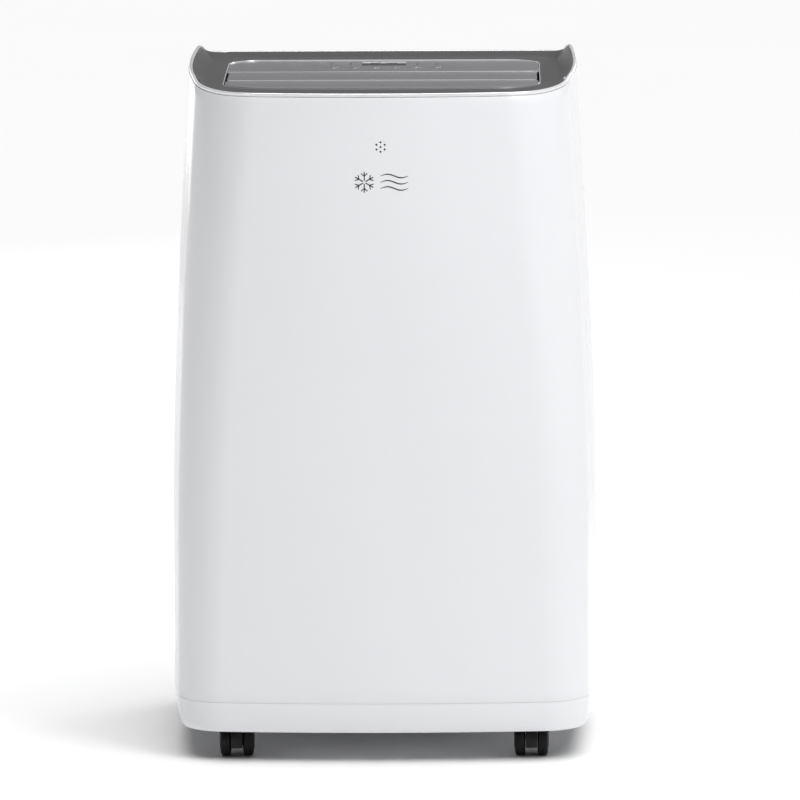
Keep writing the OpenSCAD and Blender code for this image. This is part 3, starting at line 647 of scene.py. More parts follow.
def board_finish(name):
    """Circuit board: green mask over tracks."""
    s = Shader(name)
    cell = s.node("ShaderNodeTexBrick", {"offset": 0.37},
                  {"Vector": s.place(), "Scale": 90.0, "Color1": (0.01, 0.16, 0.06),
                   "Color2": (0.015, 0.22, 0.09), "Mortar": (0.05, 0.33, 0.14),
                   "Mortar Size": 0.03})
    return s.feed(Base_Color=cell, Roughness=s.noise(80.0) * 0.2 + 0.3)


def glassy(name, shade):
    """Dark glossy window."""
    s = Shader(name, IOR=1.52, Coat_Weight=1.0, Coat_Roughness=0.03)
    wipe = s.noise(60.0, 4.0, 0.6)
    return s.feed(Base_Color=s.mix(wipe, shade, tint(shade, 1.5)), Roughness=wipe * 0.08 + 0.06)


FINISH = {}


def make_finishes(scene):
    c = scene.cooler_finish
    shell, deck = tuple(c.shell), tuple(c.deck)
    FINISH.update(
        shell=moulded("gloss white plastic", shell, 0.24, coat=0.35, spread=0.02, grain=500.0),
        grille=moulded("satin white plastic", tint(shell, 0.97), 0.36, coat=0.1, grain=900.0),
        deck=painted("satin grey paint", deck, 0.30, 0.6),
        blade=painted("satin grey lid paint", tint(deck, 2.8), 0.28, 0.7),
        key=painted("satin grey key paint", tint(deck, 3.1), 0.28, 0.7),
        # Bright silver: the real trim bead, and also the lid's edge strips and rim, which are
        # partly painted highlights.
        trim=painted("bright silver paint", tuple(c.trim), 0.2, 0.4),
        window=glassy("dark window", (0.010, 0.010, 0.013)),
        ghost=moulded("unlit segment", (0.055, 0.055, 0.06), 0.3),
        print=moulded("dark grey print", (0.02, 0.0205, 0.022), 0.4, grain=1500.0),
        inner=moulded("dark grey matt plastic", (0.045, 0.046, 0.05), 0.55, peel=0.00005),
        duct=moulded("grey moulded duct", (0.16, 0.165, 0.175), 0.5, peel=0.00005),
        black=moulded("black nylon", tuple(c.black), 0.5, peel=0.00005, grain=1200.0, shine=0.25),
        tread=moulded("black tread", (0.004, 0.004, 0.0045), 0.58, peel=0.0001, grain=1800.0,
                      shine=0.25),
        rubber=moulded("black rubber", (0.015, 0.015, 0.015), 0.75, peel=0.0001),
        enamel=moulded("black enamel", (0.012, 0.012, 0.013), 0.22, coat=0.6),
        steel=bright("plated steel", (0.62, 0.63, 0.64), 0.32, 0.00001),
        sheet=bright("galvanised sheet", (0.55, 0.56, 0.57), 0.42, 0.00001),
        copper=bright("copper pipe", (0.74, 0.36, 0.20), 0.28),
        # Fin pack: light fins with painted shadow in the gaps between them.
        fins=striped("fin pack", (0.72, 0.73, 0.74), (0.10, 0.10, 0.11), 0.0018, 0.3, 0.9, 0),
        # Filter mesh: grey threads, with painted shade in the openings.
        mesh=woven("filter mesh", (0.22, 0.225, 0.235), 0.0024),
        board=board_finish("circuit board"),
    )


# ---- Operators ----

class Build:
    bl_options = {"REGISTER", "UNDO"}


class COOLER_OT_front_panel(Build, bpy.types.Operator):
    """Front panel: a bowed, leaning moulding with the receiver's seven holes"""
    bl_idname = "cooler.front_panel"
    bl_label = "Front panel"

    def execute(self, context):
        f = Form(context.scene)
        panel = grid_piece("front_panel_skin", f.shell_rows(f.front_line),
                           outwards=(0, 60, 350))
        modify(panel, "SOLIDIFY", thickness=f.wall * MM, offset=-1.0, use_even_offset=True)
        weld(panel)
        y = f.face(RECEIVER_Z)
        ring = arc(0, RECEIVER_Z, 4.7, 30, 330, 5)
        cut(panel, [rod("hole", (u, y - 6, v), (0, 1, 0), 1.0, 14, 24)
                    for u, v in [(0, RECEIVER_Z)] + ring])
        soften(panel, 0.35, 2, 60)
        give(smooth(panel, 35), "shell", "root", ("front_panel",))
        lens = lathe("receiver_lens", [(0, 0), (7.5, 0), (7.5, 1.6), (6.9, 2.2), (0, 2.6)],
                     (0, y + f.wall + 0.6, RECEIVER_Z), (0, 1, 0), 48)
        give(smooth(lens), "inner", "root", ())
        return {"FINISHED"}


class COOLER_OT_front_mark(Build, bpy.types.Operator):
    """Printed mark under the receiver: a snowflake and three air waves"""
    bl_idname = "cooler.front_mark"
    bl_label = "Front mark"

    def execute(self, context):
        f = Form(context.scene)
        x0, z0, size = 0.5, 590.0, 1.2

        def place(u, v, h):
            x, z = x0 + size * u, z0 + size * v
            return (x, f.face_at(x, z) - 0.10 + h, z)

        bars = []
        for k in range(6):
            arm = [bar(1.2, 0, 8.6, 0, 0.9), bar(5, 0, 7.4, -2.6, 0.8), bar(5, 0, 7.4, 2.6, 0.8)]
            bars += [[(u - 14, v) for u, v in turned(stroke, 60 * k + 30)] for stroke in arm]
        for row in (-5.2, 0.0, 5.2):
            top, low = [], []
            for i in range(25):
                u = lerp(-0.5, 22.5, i / 24)
                v = row + 1.5 * math.sin(2 * math.pi * i / 24)
                w = 0.55 * math.sin(math.pi * lerp(0.12, 0.88, i / 24))
                top.append((u, v + w))
                low.append((u, v - w))
            bars.append(low + top[::-1])
        strokes = [prism("stroke", line, place, 0.16) for line in bars]
        give(merge("front_mark", strokes), "print", "root", ())
        return {"FINISHED"}


class COOLER_OT_rear_casing(Build, bpy.types.Operator):
    """Rear casing: sides and back, with the openings for grilles, outlet, grips and ports"""
    bl_idname = "cooler.rear_casing"
    bl_label = "Rear casing"

    def execute(self, context):
        f = Form(context.scene)
        rows = [[(x, max(y, f.seam + 0.35), z) for x, y, z in row]
                for row in f.shell_rows(f.rear_line)]
        shell = grid_piece("rear_casing_skin", rows, outwards=(0, 20, 350))
        modify(shell, "SOLIDIFY", thickness=f.wall * MM, offset=-1.0, use_even_offset=True)
        weld(shell)
        cutters = [prism("opening", rounded(w, h, 2), on_rear(f.rear - 20, x, z), 40)
                   for x, z, w, h in (UPPER_GRILLE, LOWER_GRILLE)]
        for x, z, r, sides in ((OUTLET_X, OUTLET_Z, OUTLET_R + 3.3, 96), (150, 96, 6.05, 32),
                               (112, 400, 8.3, 32)):
            cutters.append(rod("opening", (x, f.rear - 20, z), (0, 1, 0), r, 40, sides))
        cutters.append(prism("opening", rounded(104, 34, 16.99, 10),
                             across(-260, GRIP_Y, GRIP_Z), 520))
        cut(shell, cutters)
        soften(shell, 0.4, 2, 60)
        give(smooth(shell, 35), "shell", "root", ("rear_casing",))
        return {"FINISHED"}


class COOLER_OT_base_tray(Build, bpy.types.Operator):
    """Base tray: a skirt with a rolled foot, a floor and the caster sockets"""
    bl_idname = "cooler.base_tray"
    bl_label = "Base tray"

    def execute(self, context):
        f = Form(context.scene)
        top, w = f.skirt, f.wall
        section = [(6.3, 0.0), (5.2, 0.4), (4.2, 1.5), (3.0, 3.6), (2.0, 6.5), (1.1, 12.0),
                   (0.5, 19.0), (0.15, 26.0), (0.0, top - 0.5), (0.12, top - 0.15), (0.4, top),
                   (w, top), (w + 0.3, 18.0), (w + 1.2, 9.0), (w + 3.8, 0.6), (w + 3.5, 0.0)]
        skirt = ring_piece("base_skirt", along(lambda inset: f.body_line(f.base_top, inset),
                                               lambda p: f.foot, section))
        tray = prism("tray_floor", f.body_line(f.base_top, w - 0.2), on_top(f.foot + 13), 3)
        sockets = []
        for c in CORNERS:
            place = (middle_x(f"caster_{c}_hood"), f.caster_y(c), f.foot + 13)
            sockets.append(lathe("socket", [(4.05, -1.2), (8, -1.2), (9, 0.3), (8.4, 3.2),
                                            (8, 18), (7.4, 18.4), (4.4, 18.4), (4.05, 18)],
                                 place, (0, 0, 1), 32))
        dam = box_piece("dam", (-165, 96, f.foot + 14), (165, 98.5, f.foot + 27), 0.6)
        boss = lathe("drain_boss", [(6, -14), (8.5, -14), (8.5, 0.0), (6, 0.0)],
                     (30, f.rear - 1, f.foot + 21), (0, 1, 0), 48)
        ribs = [box_piece("rib", (i * 44 - 0.9, -128, f.foot + 9),
                          (i * 44 + 0.9, 128, f.foot + 13.2), 0.3, 1) for i in range(-3, 4)]
        feet = [rod("stud", (x, y, f.foot + 15), (0, 0, 1), 5, 5, 32, 0.5)
                for x, y in arc(112, -62, 58, 30, 270, 2)]
        tray = merge("base_tray", [skirt, tray, dam, boss, *sockets, *ribs, *feet])
        give(smooth(tray, 35), "shell", "root", ("base_pan",))
        return {"FINISHED"}


class COOLER_OT_deck(Build, bpy.types.Operator):
    """Dished deck: wings, sloping walls and a flat floor round the lid opening"""
    bl_idname = "cooler.deck"
    bl_label = "Deck"

    def execute(self, context):
        f = Form(context.scene)
        edge, foot = f.body_line(f.lip, 0.9 + f.bead), f.floor_line()

        def floor_at(p):
            return f.floor - STEP * clamp01((f.lid1 - 20 - p[1]) / 60)

        rows = along(lambda inset: f.body_line(f.lip, 0.9 + f.bead + inset), f.rim,
                     ((0.35, -11.4), (0.35, -2.2), (0.42, -1.5), (0.7, -0.9)))
        for k in range(17):
            t = 0.05 + 0.95 * k / 16
            rows.append([(lerp(a[0], b[0], t), lerp(a[1], b[1], t),
                          lerp(f.rim(a) - 0.4, floor_at(b), 1 - (1 - t) ** 1.35))
                         for a, b in zip(edge, foot)])
        rows += along(f.lid_line, floor_at, ((0.7, 0.0), (0.35, -0.1), (0.1, -0.35),
                                             (0, -0.7), (0, -3)))
        rows = [row + [row[0]] for row in rows]
        deck = grid_piece("deck_skin", rows, outwards=(0, 0, 0))
        modify(deck, "SOLIDIFY", thickness=1.2 * MM, offset=-1.0)
        give(smooth(deck, 40), "deck", "root", ("top_deck",))
        # Thin bright silver ring round the lid opening: partly a silver rim, partly a painted
        # highlight of the deck's lit edge round the opening.
        rim = ring_piece("lid_rim_inlay_highlight", along(f.lid_line, floor_at, (
            (0.7, 0.03), (0.03, 0.03), (-0.03, -0.1), (-0.03, -1.2), (0.7, -1.2))))
        give(smooth(rim, 40), "trim", "root", ())
        h, w, leg = f.bead_face, f.bead, f.wall - 0.3
        section = [(0.2, -h), (0, -h + 0.2), (0, -1.0), (0.1, -0.6), (0.4, -0.2), (0.9, 0.0),
                   (w - 1.1, 0.0), (w - 0.5, -0.1), (w - 0.1, -0.4), (w, -0.8), (w, -8),
                   (leg, -8), (leg, -h - f.groove), (0.9, -h - f.groove), (0.9, -h)]
        bead = ring_piece("trim_bead", along(lambda inset: f.body_line(f.lip, 0.6 + inset),
                                             f.rim, section))
        give(smooth(bead, 40), "trim", "root", ("deck_trim",))
        return {"FINISHED"}


def sink(f, piece):
    """Leans a piece of the control panel back, to a step below the deck at its rear."""
    y0 = (f.lid1 + 0.5) * MM
    for v in piece.data.vertices:
        v.co.z -= STEP / (f.lid2 - f.lid1) * max(0.0, v.co.y - y0)
    return piece


def slab(name, f, y0, y1, bow_front, margin, strip=0.0):
    """A plate, or a bright strip along its front edge that is partly a silver inlay and partly a
    painted highlight, across the lid opening.
    """
    line = f.lid_line(-margin)
    front = sorted((p for p in line if p[1] <= f.inner), key=lambda p: p[0])
    half = max(p[0] for p in line) - 1e-4
    count = 1 if strip else 18

    def front_y(x):
        found = [lerp(a[1], b[1], clamp01((x - a[0]) / (b[0] - a[0])))
                 for a, b in zip(front, front[1:])
                 if a[0] - LEAST <= x <= b[0] + LEAST and b[0] - a[0] > 1e-9]
        return max(found + [y0])

    columns = [half * math.sin(math.pi / 2 * lerp(-1, 1, i / 96)) for i in range(97)]
    starts = [(x, front_y(x) if bow_front else y0) for x in columns]
    rows = []
    for k in range(count + 1):
        row = [(x, lerp(a, a + strip if strip else y1, k / count)) for x, a in starts]
        rows.append([(x, y, f.floor - 0.1 - STEP * ((y - y0) / (y1 - y0))) for x, y in row])
    plate = grid_piece(name, rows, outwards=(0, 0, 0))
    modify(plate, "SOLIDIFY", thickness=(1.1 if strip else f.blade) * MM, offset=-1.0)
    return weld(plate)


class COOLER_OT_louvre(Build, bpy.types.Operator):
    """Two louvre blades with their ribs, pins and cranks"""
    bl_idname = "cooler.louvre"
    bl_label = "Louvre blades"

    def execute(self, context):
        f = Form(context.scene)
        half = f.half - 2.6
        end, crank = half - 6, f.half + 2.9
        for k, name in enumerate(("rear", "front")):
            y, c, body = f.blade_y[k], f.pitch - f.gap, f"louvre_{name}"
            plate = slab("blade", f, y - c / 2, y + c / 2, k == 1, f.gap)
            if k == 0:
                for v in plate.data.vertices:
                    v.co.x = max(-half * MM, min(half * MM, v.co.x))
            soften(plate, 0.6, 3, 50)
            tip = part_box(f"{body}_blade")[0].x / MM
            parts = [plate]
            for s in (-1, 1):
                parts.append(box_piece("rib", (s * end - 1.5, y - 6, f.pivot - 0.1),
                                       (s * end + 1.5, y + 6, f.floor - 2.8), 0.5))
                parts.append(rod("hub", (s * end - 1.5, y, f.pivot), (1, 0, 0), 6, 3, 48, 0.5))
            parts.append(rod("pin", (tip, y, f.pivot), (1, 0, 0), 3, -end - tip, 48, 0.3))
            parts.append(rod("pin", (end, y, f.pivot), (1, 0, 0), 3, crank - end + 1, 48))
            arm = arc(0, -13, 4, 0, -180, 32) + arc(0, 0, 4.6, 180, 0, 32)
            parts.append(soften(prism("arm", arm, across(crank, y, f.pivot), 3), 0.4))
            parts.append(rod("crank_pin", (crank + 2.9, y, f.pivot - 13), (1, 0, 0), 2, 4.2,
                             32, 0.3))
            give(smooth(merge(f"{body}_skin", parts), 35), "blade", body, (f"{body}_blade",))
            # Bright silver strip on the blade's front edge: partly a silver inlay, partly a
            # painted highlight where the lit rounded edge catches the light.
            edge = slab(f"{body}_edge", f, y - c / 2, y + c / 2, k == 1, f.gap + 2.7, INLAY_HIGHLIGHT_WIDTH)
            for v in edge.data.vertices:
                v.co += Vector((0, -0.08, 0.04)) * MM
            give(smooth(edge), "trim", body, ())
        return {"FINISHED"}


class COOLER_OT_control_panel(Build, bpy.types.Operator):
    """Control panel: plate, key holes, display recess and indicator lenses"""
    bl_idname = "cooler.control_panel"
    bl_label = "Control panel"

    def execute(self, context):
        f = Form(context.scene)
        y0 = f.lid1 + 0.5
        line = [p for p in f.lid_line(-0.5) if p[1] > y0 + 2]
        half = max(p[0] for p in line)
        line.sort(key=lambda p: math.atan2(p[1] - y0, p[0]))
        outline = [(half, y0)]
        for p in line + [(-half, y0)]:
            if math.dist(p, outline[-1]) > 1.5:
                outline.append(p)
        plate = soften(prism("plate", outline, on_top(f.floor - 3), 3), 0.6, 3, 50)
        key_y, show_y = f.lid1 + KEY_BACK, f.lid1 + SHOW_BACK
        cutters = [rod("hole", ((k - 2.5) * KEY_PITCH, key_y, f.floor - 5), (0, 0, 1),
                       f.key + 0.25, 9, 48) for k in range(6)]
        for w, d, low, high in ((22.5, 16.5, -1.6, 2), (19.5, 13.5, -5, -1)):
            cutters.append(box_piece("recess", (-w, show_y - d, f.floor + low),
                                     (w, show_y + d, f.floor + high)))
        cut(plate, cutters)
        soften(plate, 0.3, 2, 50)
        parts = [sink(f, plate)]
        for s in (-1, 1):
            for y in (f.lid1 + 14, f.lid2 - 30):
                parts.append(rod("peg", (s * 112, y, f.floor - 12), (0, 0, 1), 4, 9.2, 32))
            for x, w, low, high, r in ((f.half - 1, 6, -6.1, -3.1, 0.4),
                                       (f.half - 5, 1.5, -3.5, -2.5, 0)):
                parts.append(box_piece("tab", (s * x - w, f.lid1 + 36, f.floor + low),
                                       (s * x + w, f.lid1 + 52, f.floor + high), r))
        panel = smooth(merge("control_panel_skin", parts), 35)
        modify(panel, "WEIGHTED_NORMAL", weight=100, keep_sharp=True)
        give(panel, "blade", "root", ("control_panel",))
        # Bright silver strip on the panel's front edge: partly a silver inlay, partly a painted
        # highlight of the lit rounded edge.
        edge = box_piece("control_panel_edge", (0.6 - half, y0 - 0.08, f.floor - 1.2),
                         (half - 0.6, y0 + 0.5, f.floor + 0.03), 0.1)
        give(smooth(edge), "trim", "root", ())
        window = box_piece("display_glass", (-22.3, show_y - 16.3, f.floor - 1.6),
                           (22.3, show_y + 16.3, f.floor - 0.1), 0.35)
        smooth(sink(f, window), 35)
        give(window, "window", "root", ("display_window",))
        self.digits(f, show_y)
        lenses = [rod("lens", (x, show_y + dy, f.floor - 0.4), (0, 0, 1), 1.1, 0.55, 24, 0.1)
                  for x in (-54, -34, 34, 54) for dy in (-9, 3)]
        lens = smooth(sink(f, merge("indicator_lenses", lenses)), 35)
        give(lens, "print", "root", ())
        return {"FINISHED"}

    def digits(self, f, show_y):
        """Two unlit seven-bar figures behind the window's face."""
        bars = []
        for x0 in (-8.5, 8.5):
            for u, v, level in ((0, 9, 1), (0, 0, 1), (0, -9, 1), (-4.6, 4.5, 0),
                                (4.6, 4.5, 0), (-4.6, -4.5, 0), (4.6, -4.5, 0)):
                a, b = (3.7, 0.8) if level else (0.8, 3.6)
                outline = [(-a, 0), (-a + b / 1.2, -b), (a - b / 1.2, -b), (a, 0),
                           (a - b / 1.2, b), (-a + b / 1.2, b)]
                if not level:
                    outline = [(0, -b), (a, -b + a), (a, b - a), (0, b), (-a, b - a),
                               (-a, -b + a)]
                bars.append(prism("bar", outline, on_top(f.floor - 0.12, x0 + u, show_y + v),
                                  0.06))
        give(sink(f, merge("display_figures", bars)), "ghost", "root", ())


def arc_bar(r, a0, a1, w, n=20):
    """A curved stroke about the middle."""
    return arc(0, 0, r + w / 2, a0, a1, n) + arc(0, 0, r - w / 2, a0, a1, n)[::-1]


def bar(x0, y0, x1, y1, w=0.5):
    """A straight stroke."""
    d = Vector((x1 - x0, y1 - y0)).normalized()
    n = Vector((-d.y, d.x)) * w / 2
    return [(x0 - n.x, y0 - n.y), (x1 - n.x, y1 - n.y), (x1 + n.x, y1 + n.y),
            (x0 + n.x, y0 + n.y)]


def turned(points, degrees):
    c, s = math.cos(math.radians(degrees)), math.sin(math.radians(degrees))
    return [(x * c - y * s, x * s + y * c) for x, y in points]


KEY_MARKS = {
    "power": [arc_bar(2.3, -235, 55, 0.5), bar(0, 0.6, 0, 3.1)],
    "mode": [turned(bar(0.5, 0, 2.9, 0), 60 * k) for k in range(6)],
    "fan": [turned([(0.3, 0), (1.4, -0.9), (2.8, -0.5), (2.6, 0.7), (1.2, 0.6)], 120 * k)
            for k in range(3)],
    "down": [[(-2.4, 1.3), (0, -1.7), (2.4, 1.3), (1.8, 1.8), (0, -0.7), (-1.8, 1.8)]],
    "up": [[(-2.4, -1.3), (-1.8, -1.8), (0, 0.7), (1.8, -1.8), (2.4, -1.3), (0, 1.7)]],
    "timer": [arc_bar(2.6, 0, 359, 0.45, 40), bar(0, 0, 0, 1.8), bar(-0.1, 0, 1.3, -0.6)],
}


class COOLER_OT_keys(Build, bpy.types.Operator):
    """Push keys: dished caps with a collar, each with its printed sign"""
    bl_idname = "cooler.keys"
    bl_label = "Keys"

    def execute(self, context):
        f = Form(context.scene)
        y, r = f.lid1 + KEY_BACK, f.key
        for k, name in enumerate(KEY_NAMES):
            x = (k - 2.5) * KEY_PITCH
            profile = [(0, -4.2), (r + 1.2, -4.2), (r + 1.2, -3.1), (r, -3.1), (r, -0.4),
                       (r - 0.12, -0.12), (r - 0.4, 0.0), (r - 1.0, -0.06), (r - 2.4, -0.2),
                       (r - 4.2, -0.3), (0, -0.33)]
            cap = lathe(f"key_{name}_cap", profile, (x, y, f.floor), (0, 0, 1), 64)
            give(smooth(cap, 40), "key", f"key_{name}", (f"key_{name}",))
            strokes = [prism("stroke", mark, on_top(f.floor - 0.3, x, y), 0.10)
                       for mark in KEY_MARKS[name]]
            give(merge(f"key_{name}_sign", strokes), "print", f"key_{name}", ())
        return {"FINISHED"}


def rear_grille(name, y, x, z, w, h):
    """A frame with sloping, round-edged slats and upright ties."""
    fw, fh = w - 0.6, h - 0.6
    outer = prism("frame", rounded(fw, fh, 2.0), on_rear(y, x, z), 9)
    cut(outer, [prism("hole", rounded(fw - 18, fh - 18, 3), on_rear(y - 2, x, z), 14)])
    soften(outer, 0.8, 2, 50)
    parts = [outer]
    n = int((fh - 18) // 13)
    for i in range(n):
        zz = z - fh / 2 + 9 + (i + 0.5) * (fh - 18) / n
        slat = box_piece("slat", (x - fw / 2 + 8.5, 0, -0.9), (x + fw / 2 - 8.5, 7.5, 0.9), 0.6)
        slat.matrix_world = (Matrix.Translation((0, (y + 1) * MM, zz * MM))
                             @ Matrix.Rotation(math.radians(-25), 4, "X"))
        parts.append(settle(slat))
    for s in (-1, 0, 1):
        parts.append(box_piece("tie", (x + s * fw / 4 - 1, y + 0.6, z - fh / 2 + 8.5),
                               (x + s * fw / 4 + 1, y + 4, z + fh / 2 - 8.5), 0.4))
    return merge(name, parts)


class COOLER_OT_grilles(Build, bpy.types.Operator):
    """Rear grilles in front of their filter meshes"""
    bl_idname = "cooler.grilles"
    bl_label = "Rear grilles"

    def execute(self, context):
        f = Form(context.scene)
        upper = rear_grille("upper_grille_skin", f.rear - 7.5, *UPPER_GRILLE)
        pull = box_piece("pull", (-28, f.rear + 1.3, 637.5), (28, f.rear + 4.4, 642.5), 0.9, 3)
        give(smooth(merge("upper_grille_skin", [upper, pull]), 35),
             "grille", "upper_filter", ("upper_filter_frame",))
        lower = smooth(rear_grille("lower_grille_skin", f.rear - 7.5, *LOWER_GRILLE), 35)
        give(lower, "grille", "lower_filter", ("lower_grille",))
        dress("mesh", "upper_filter_mesh", "lower_filter_mesh")
        return {"FINISHED"}


class COOLER_OT_outlet(Build, bpy.types.Operator):
    """Hot-air outlet collar with its flange"""
    bl_idname = "cooler.outlet"
    bl_label = "Hot-air outlet"

    def execute(self, context):
        f = Form(context.scene)
        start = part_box("exhaust_collar")[0].y / MM - f.rear
        r = OUTLET_R
        profile = [(r, start), (r + 3, start), (r + 3, 0.2), (r + 12, 0.2), (r + 12, 2.0),
                   (r + 11.6, 2.6), (r + 11, 3.0), (r + 5.4, 3.0), (r + 4.6, 3.5),
                   (r + 4.2, 5.2), (r + 3.6, 5.9), (r + 3, 6.0), (r + 1, 6.0), (r + 0.3, 5.7),
                   (r, 5.0)]
        collar = lathe("outlet_collar_skin", profile, (OUTLET_X, f.rear, OUTLET_Z),
                       (0, 1, 0), 120)
        give(smooth(collar, 40), "grille", "root", ("exhaust_collar",))
        return {"FINISHED"}


class COOLER_OT_grips(Build, bpy.types.Operator):
    """Finger cups in both sides, and the cleats for the cord at the back"""
    bl_idname = "cooler.grips"
    bl_label = "Grips and cleats"

    def execute(self, context):
        f = Form(context.scene)
        for side, name in ((-1, "handle_left"), (1, "handle_right")):
            low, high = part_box(name)
            inner, outer = (x / MM for x in ((low.x, high.x) if side > 0 else (high.x, low.x)))
            rows = [[(x, GRIP_Y + u, GRIP_Z + v) for u, v in rounded(w, h, r, 12)]
                    for x, w, h, r in (
                        (inner, 88, 18, 8.9), (inner, 103.4, 33.4, 16.6),
                        (outer, 103.4, 33.4, 16.6), (outer, 99, 29, 14.4),
                        (inner + side * 5, 99, 29, 14.4), (inner + side * 2.4, 96, 26, 12.9),
                        (inner + side * 1.5, 90, 20, 9.9))]
            cup = ring_piece("grip_ring", rows)
            disc = prism("grip_floor", rounded(90, 20, 9.9, 12),
                         across(inner, GRIP_Y, GRIP_Z, side), 1.5)
            give(smooth(merge(f"{name}_cup", [cup, disc]), 40),
                 "shell", "root", (name,))
        parts = []
        for z, low_end in ((250, -16), (340, -5)):
            parts.append(box_piece("post", (145, f.rear + 0.1, z - 5), (159, f.rear + 4.6, z + 5),
                                   1.0, 3))
            parts.append(box_piece("wing", (145, f.rear + 3, z + low_end),
                                   (159, f.rear + 5.6, z + low_end + 21), 1.1, 3))
        give(smooth(merge("cord_cleats_skin", parts), 35),
             "grille", "root", ("cord_cleats",))
        return {"FINISHED"}


class COOLER_OT_casters(Build, bpy.types.Operator):
    """Twin-wheel casters: hoods, domed wheels with hub caps, axles"""
    bl_idname = "cooler.casters"
    bl_label = "Casters"

    def execute(self, context):
        f = Form(context.scene)
        r, w, gap = WHEEL_R, WHEEL_W, WHEEL_GAP
        for c in CORNERS:
            x, y = middle_x(f"caster_{c}_axle"), f.caster_y(c)
            for s, side in ((-1, "left"), (1, "right")):
                profile = [(3.05, 0), (5.5, 0), (5.5, 5.6), (13, 5.6), (13, 0.2), (14, 0.0),
                           (16.4, 0.3), (17.4, 0.7), (18, 1.4), (18, 4.6), (17.75, 4.9),
                           (18, 5.2), (18, w - 2.9), (17.6, w - 2.2), (16.6, w - 1.5),
                           (14, w - 0.9), (10.5, w - 0.45), (10.1, w - 0.9), (9.6, w - 0.2),
                           (6, w), (3.4, w), (3.0, w - 0.1), (0.0, w - 0.1), (0.0, w - 1.6),
                           (3.05, w - 1.6)]
                wheel = lathe(f"caster_{c}_{side}_wheel", profile,
                              (x + s * gap / 2, y + TRAIL, r), (s, 0, 0), 72)
                smooth(wheel, 32)
                give(wheel, "tread", f"caster_{c}_{side}",
                     (f"caster_{c}_wheel_{side}",))
            self.hood(f, c, x, y)
        dress("steel", *[f"caster_{c}_axle" for c in CORNERS])
        return {"FINISHED"}

    def hood(self, f, c, x, y):
        """Stem, web and the cover over both wheels."""
        r, w, gap, top = WHEEL_R, WHEEL_W, WHEEL_GAP, f.foot + 13
        outer, inner = r + 3, r + 0.8
        parts = [rod("stem", (x, y, 2 * r - 6), (0, 0, 1), 4, top + 13 - 2 * r + 6, 48, 0.6),
                 rod("boss", (x, y, r + 6), (0, 0, 1), gap / 2 - 0.5, top - r - 6.6, 48, 0.4)]
        reach = math.degrees(math.acos(9 / outer))
        web = [p for p in arc(0, 0, outer, -reach, 180 + reach, 48) if p[1] >= -8.301]
        parts.append(soften(prism("web", web, across(x - gap / 2 + 0.4, y + TRAIL, r),
                                  gap - 0.8), 0.7, 2, 45))
        a0, a1 = (math.degrees(math.asin(9 / edge)) for edge in (outer, inner))
        cover = arc(0, 0, outer, a0, 180 - a0, 32) + arc(0, 0, inner, 180 - a1, a1, 32)
        parts.append(soften(prism("cover", cover, across(x - gap / 2 - w - 0.2, y + TRAIL, r),
                                  gap + 2 * w + 0.4), 0.6, 2, 45))
        give(smooth(merge(f"caster_{c}_hood_skin", parts), 35),
             "black", f"caster_{c}", (f"caster_{c}_hood",))


class COOLER_OT_inner_parts(Build, bpy.types.Operator):
    """Finishes of the parts that keep their modelled shape"""
    bl_idname = "cooler.inner_parts"
    bl_label = "Inner parts"

    def execute(self, context):
        dress("inner", "outlet_throat", "louvre_link", "upper_fan_wheel",
              "lower_fan_wheel", "cord_gland")
        dress("duct", "upper_scroll", "lower_scroll", "partition_tray",
              "drain_cap_upper", "drain_cap_lower")
        dress("steel", "casing_screws", "swing_motor", "upper_fan_motor",
              "lower_fan_motor")
        dress("sheet", "electrical_box")
        dress("fins", "evaporator_coil", "condenser_coil")
        dress("enamel", "compressor")
        dress("rubber", "compressor_grommets")
        dress("copper", "refrigerant_pipes")
        dress("board", "control_board")
        return {"FINISHED"}


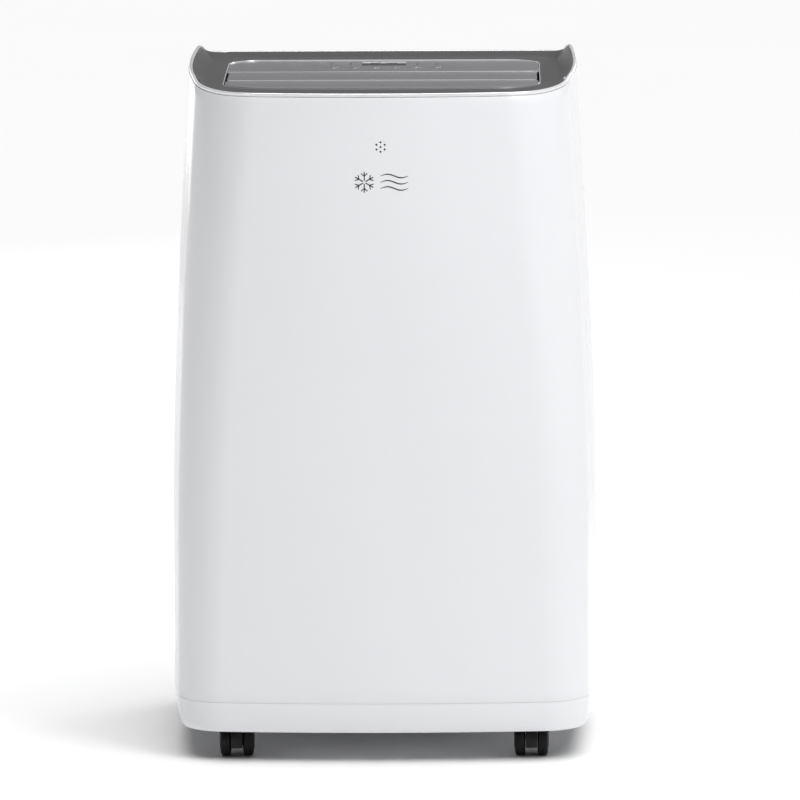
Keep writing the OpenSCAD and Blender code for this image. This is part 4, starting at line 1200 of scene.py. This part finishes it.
class COOLER_OT_stage(Build, bpy.types.Operator):
    """Pale floor, soft studio lights and the camera"""
    bl_idname = "cooler.stage"
    bl_label = "Stage"

    def execute(self, context):
        scene = context.scene
        clear_selection()
        bpy.ops.mesh.primitive_plane_add(size=60)
        floor = named("studio_floor")
        s = Shader("pale floor", Specular_IOR_Level=0.1)
        floor.data.materials.append(s.feed(
            Base_Color=s.mix(s.noise(2.0), (0.94, 0.94, 0.94), (0.955, 0.955, 0.955)),
            Roughness=s.noise(30.0) * 0.1 + 0.85))
        scene.view_settings.view_transform = "Standard"
        world = bpy.data.worlds.new("studio")
        scene.world = world
        world.use_nodes = True
        back = world.node_tree.nodes["Background"]
        back.inputs["Color"].default_value = (0.98, 0.985, 1.0, 1.0)
        back.inputs["Strength"].default_value = 0.16
        sun = bpy.data.lights.new("soft overhead", "SUN")
        sun.energy, sun.angle = 2.75, math.radians(60)
        self.put(scene, sun, (0.3, -0.3, 4.0))
        for name, at, wide, tall, power in (
                ("key panel", (0.9, -1.0, 1.5), 0.6, 0.8, 10.4),
                ("back left panel", (-1.6, 2.8, 0.9), 1.6, 1.4, 8.2),
                ("back right panel", (0.6, 0.8, 0.95), 0.5, 0.5, 2.6)):
            panel = bpy.data.lights.new(name, "AREA")
            panel.shape, panel.size, panel.size_y = "RECTANGLE", wide, tall
            panel.energy = power
            self.put(scene, panel, at)
        camera = bpy.data.cameras.new("camera")
        camera.sensor_width = 36.0
        camera.lens = 36.0 * 7111.66 / 800
        camera.clip_start, camera.clip_end = 0.5, 80.0
        holder = bpy.data.objects.new("camera", camera)
        scene.collection.objects.link(holder)
        pitch, yaw, roll = 0.1669, -0.01453, 0.0052
        look = Vector((math.sin(yaw) * math.cos(pitch), math.cos(yaw) * math.cos(pitch),
                       -math.sin(pitch)))
        right = look.cross(Vector((0, 0, 1))).normalized()
        up = right.cross(look)
        up = up * math.cos(roll) + right * math.sin(roll)
        right = look.cross(up)
        turn = Matrix((right, up, -look)).transposed().to_4x4()
        holder.matrix_world = Matrix.Translation((0.120, -7.170, 1.55142)) @ turn
        scene.camera = holder
        return {"FINISHED"}

    def put(self, scene, light, at):
        holder = bpy.data.objects.new(light.name, light)
        scene.collection.objects.link(holder)
        holder.location = at
        holder.visible_camera = False
        aim = Vector((0, 0, 0.45)) - Vector(at)
        holder.rotation_mode = "QUATERNION"
        holder.rotation_quaternion = aim.to_track_quat("-Z", "Y")


OPERATORS = (
    COOLER_OT_stage, COOLER_OT_front_panel, COOLER_OT_front_mark, COOLER_OT_rear_casing,
    COOLER_OT_base_tray, COOLER_OT_deck, COOLER_OT_louvre, COOLER_OT_control_panel,
    COOLER_OT_keys, COOLER_OT_grilles, COOLER_OT_outlet, COOLER_OT_grips, COOLER_OT_casters,
    COOLER_OT_inner_parts)


class COOLER_PT_panel(bpy.types.Panel):
    """Lists the pieces"""
    bl_idname = "COOLER_PT_panel"
    bl_label = "Portable air conditioner"
    bl_space_type = "VIEW_3D"
    bl_region_type = "UI"
    bl_category = "Cooler"

    def draw(self, context):
        for group in ("cooler_cabinet", "cooler_deck", "cooler_finish"):
            data = getattr(context.scene, group)
            box = self.layout.box()
            for key in data.__annotations__:
                box.prop(data, key)
        for operator in OPERATORS:
            self.layout.operator(operator.bl_idname)


CLASSES = (CabinetSizes, DeckSizes, FinishColours, *OPERATORS, COOLER_PT_panel)


def register():
    for item in CLASSES:
        bpy.utils.register_class(item)
    bpy.types.Scene.cooler_cabinet = PointerProperty(type=CabinetSizes)
    bpy.types.Scene.cooler_deck = PointerProperty(type=DeckSizes)
    bpy.types.Scene.cooler_finish = PointerProperty(type=FinishColours)


def unregister():
    del bpy.types.Scene.cooler_finish
    del bpy.types.Scene.cooler_deck
    del bpy.types.Scene.cooler_cabinet
    for item in reversed(CLASSES):
        bpy.utils.unregister_class(item)


def main():
    register()
    make_finishes(bpy.context.scene)
    for operator in OPERATORS:
        getattr(bpy.ops.cooler, operator.bl_idname.split(".")[1])()
    clear_selection()


if __name__ == "__main__":
    main()
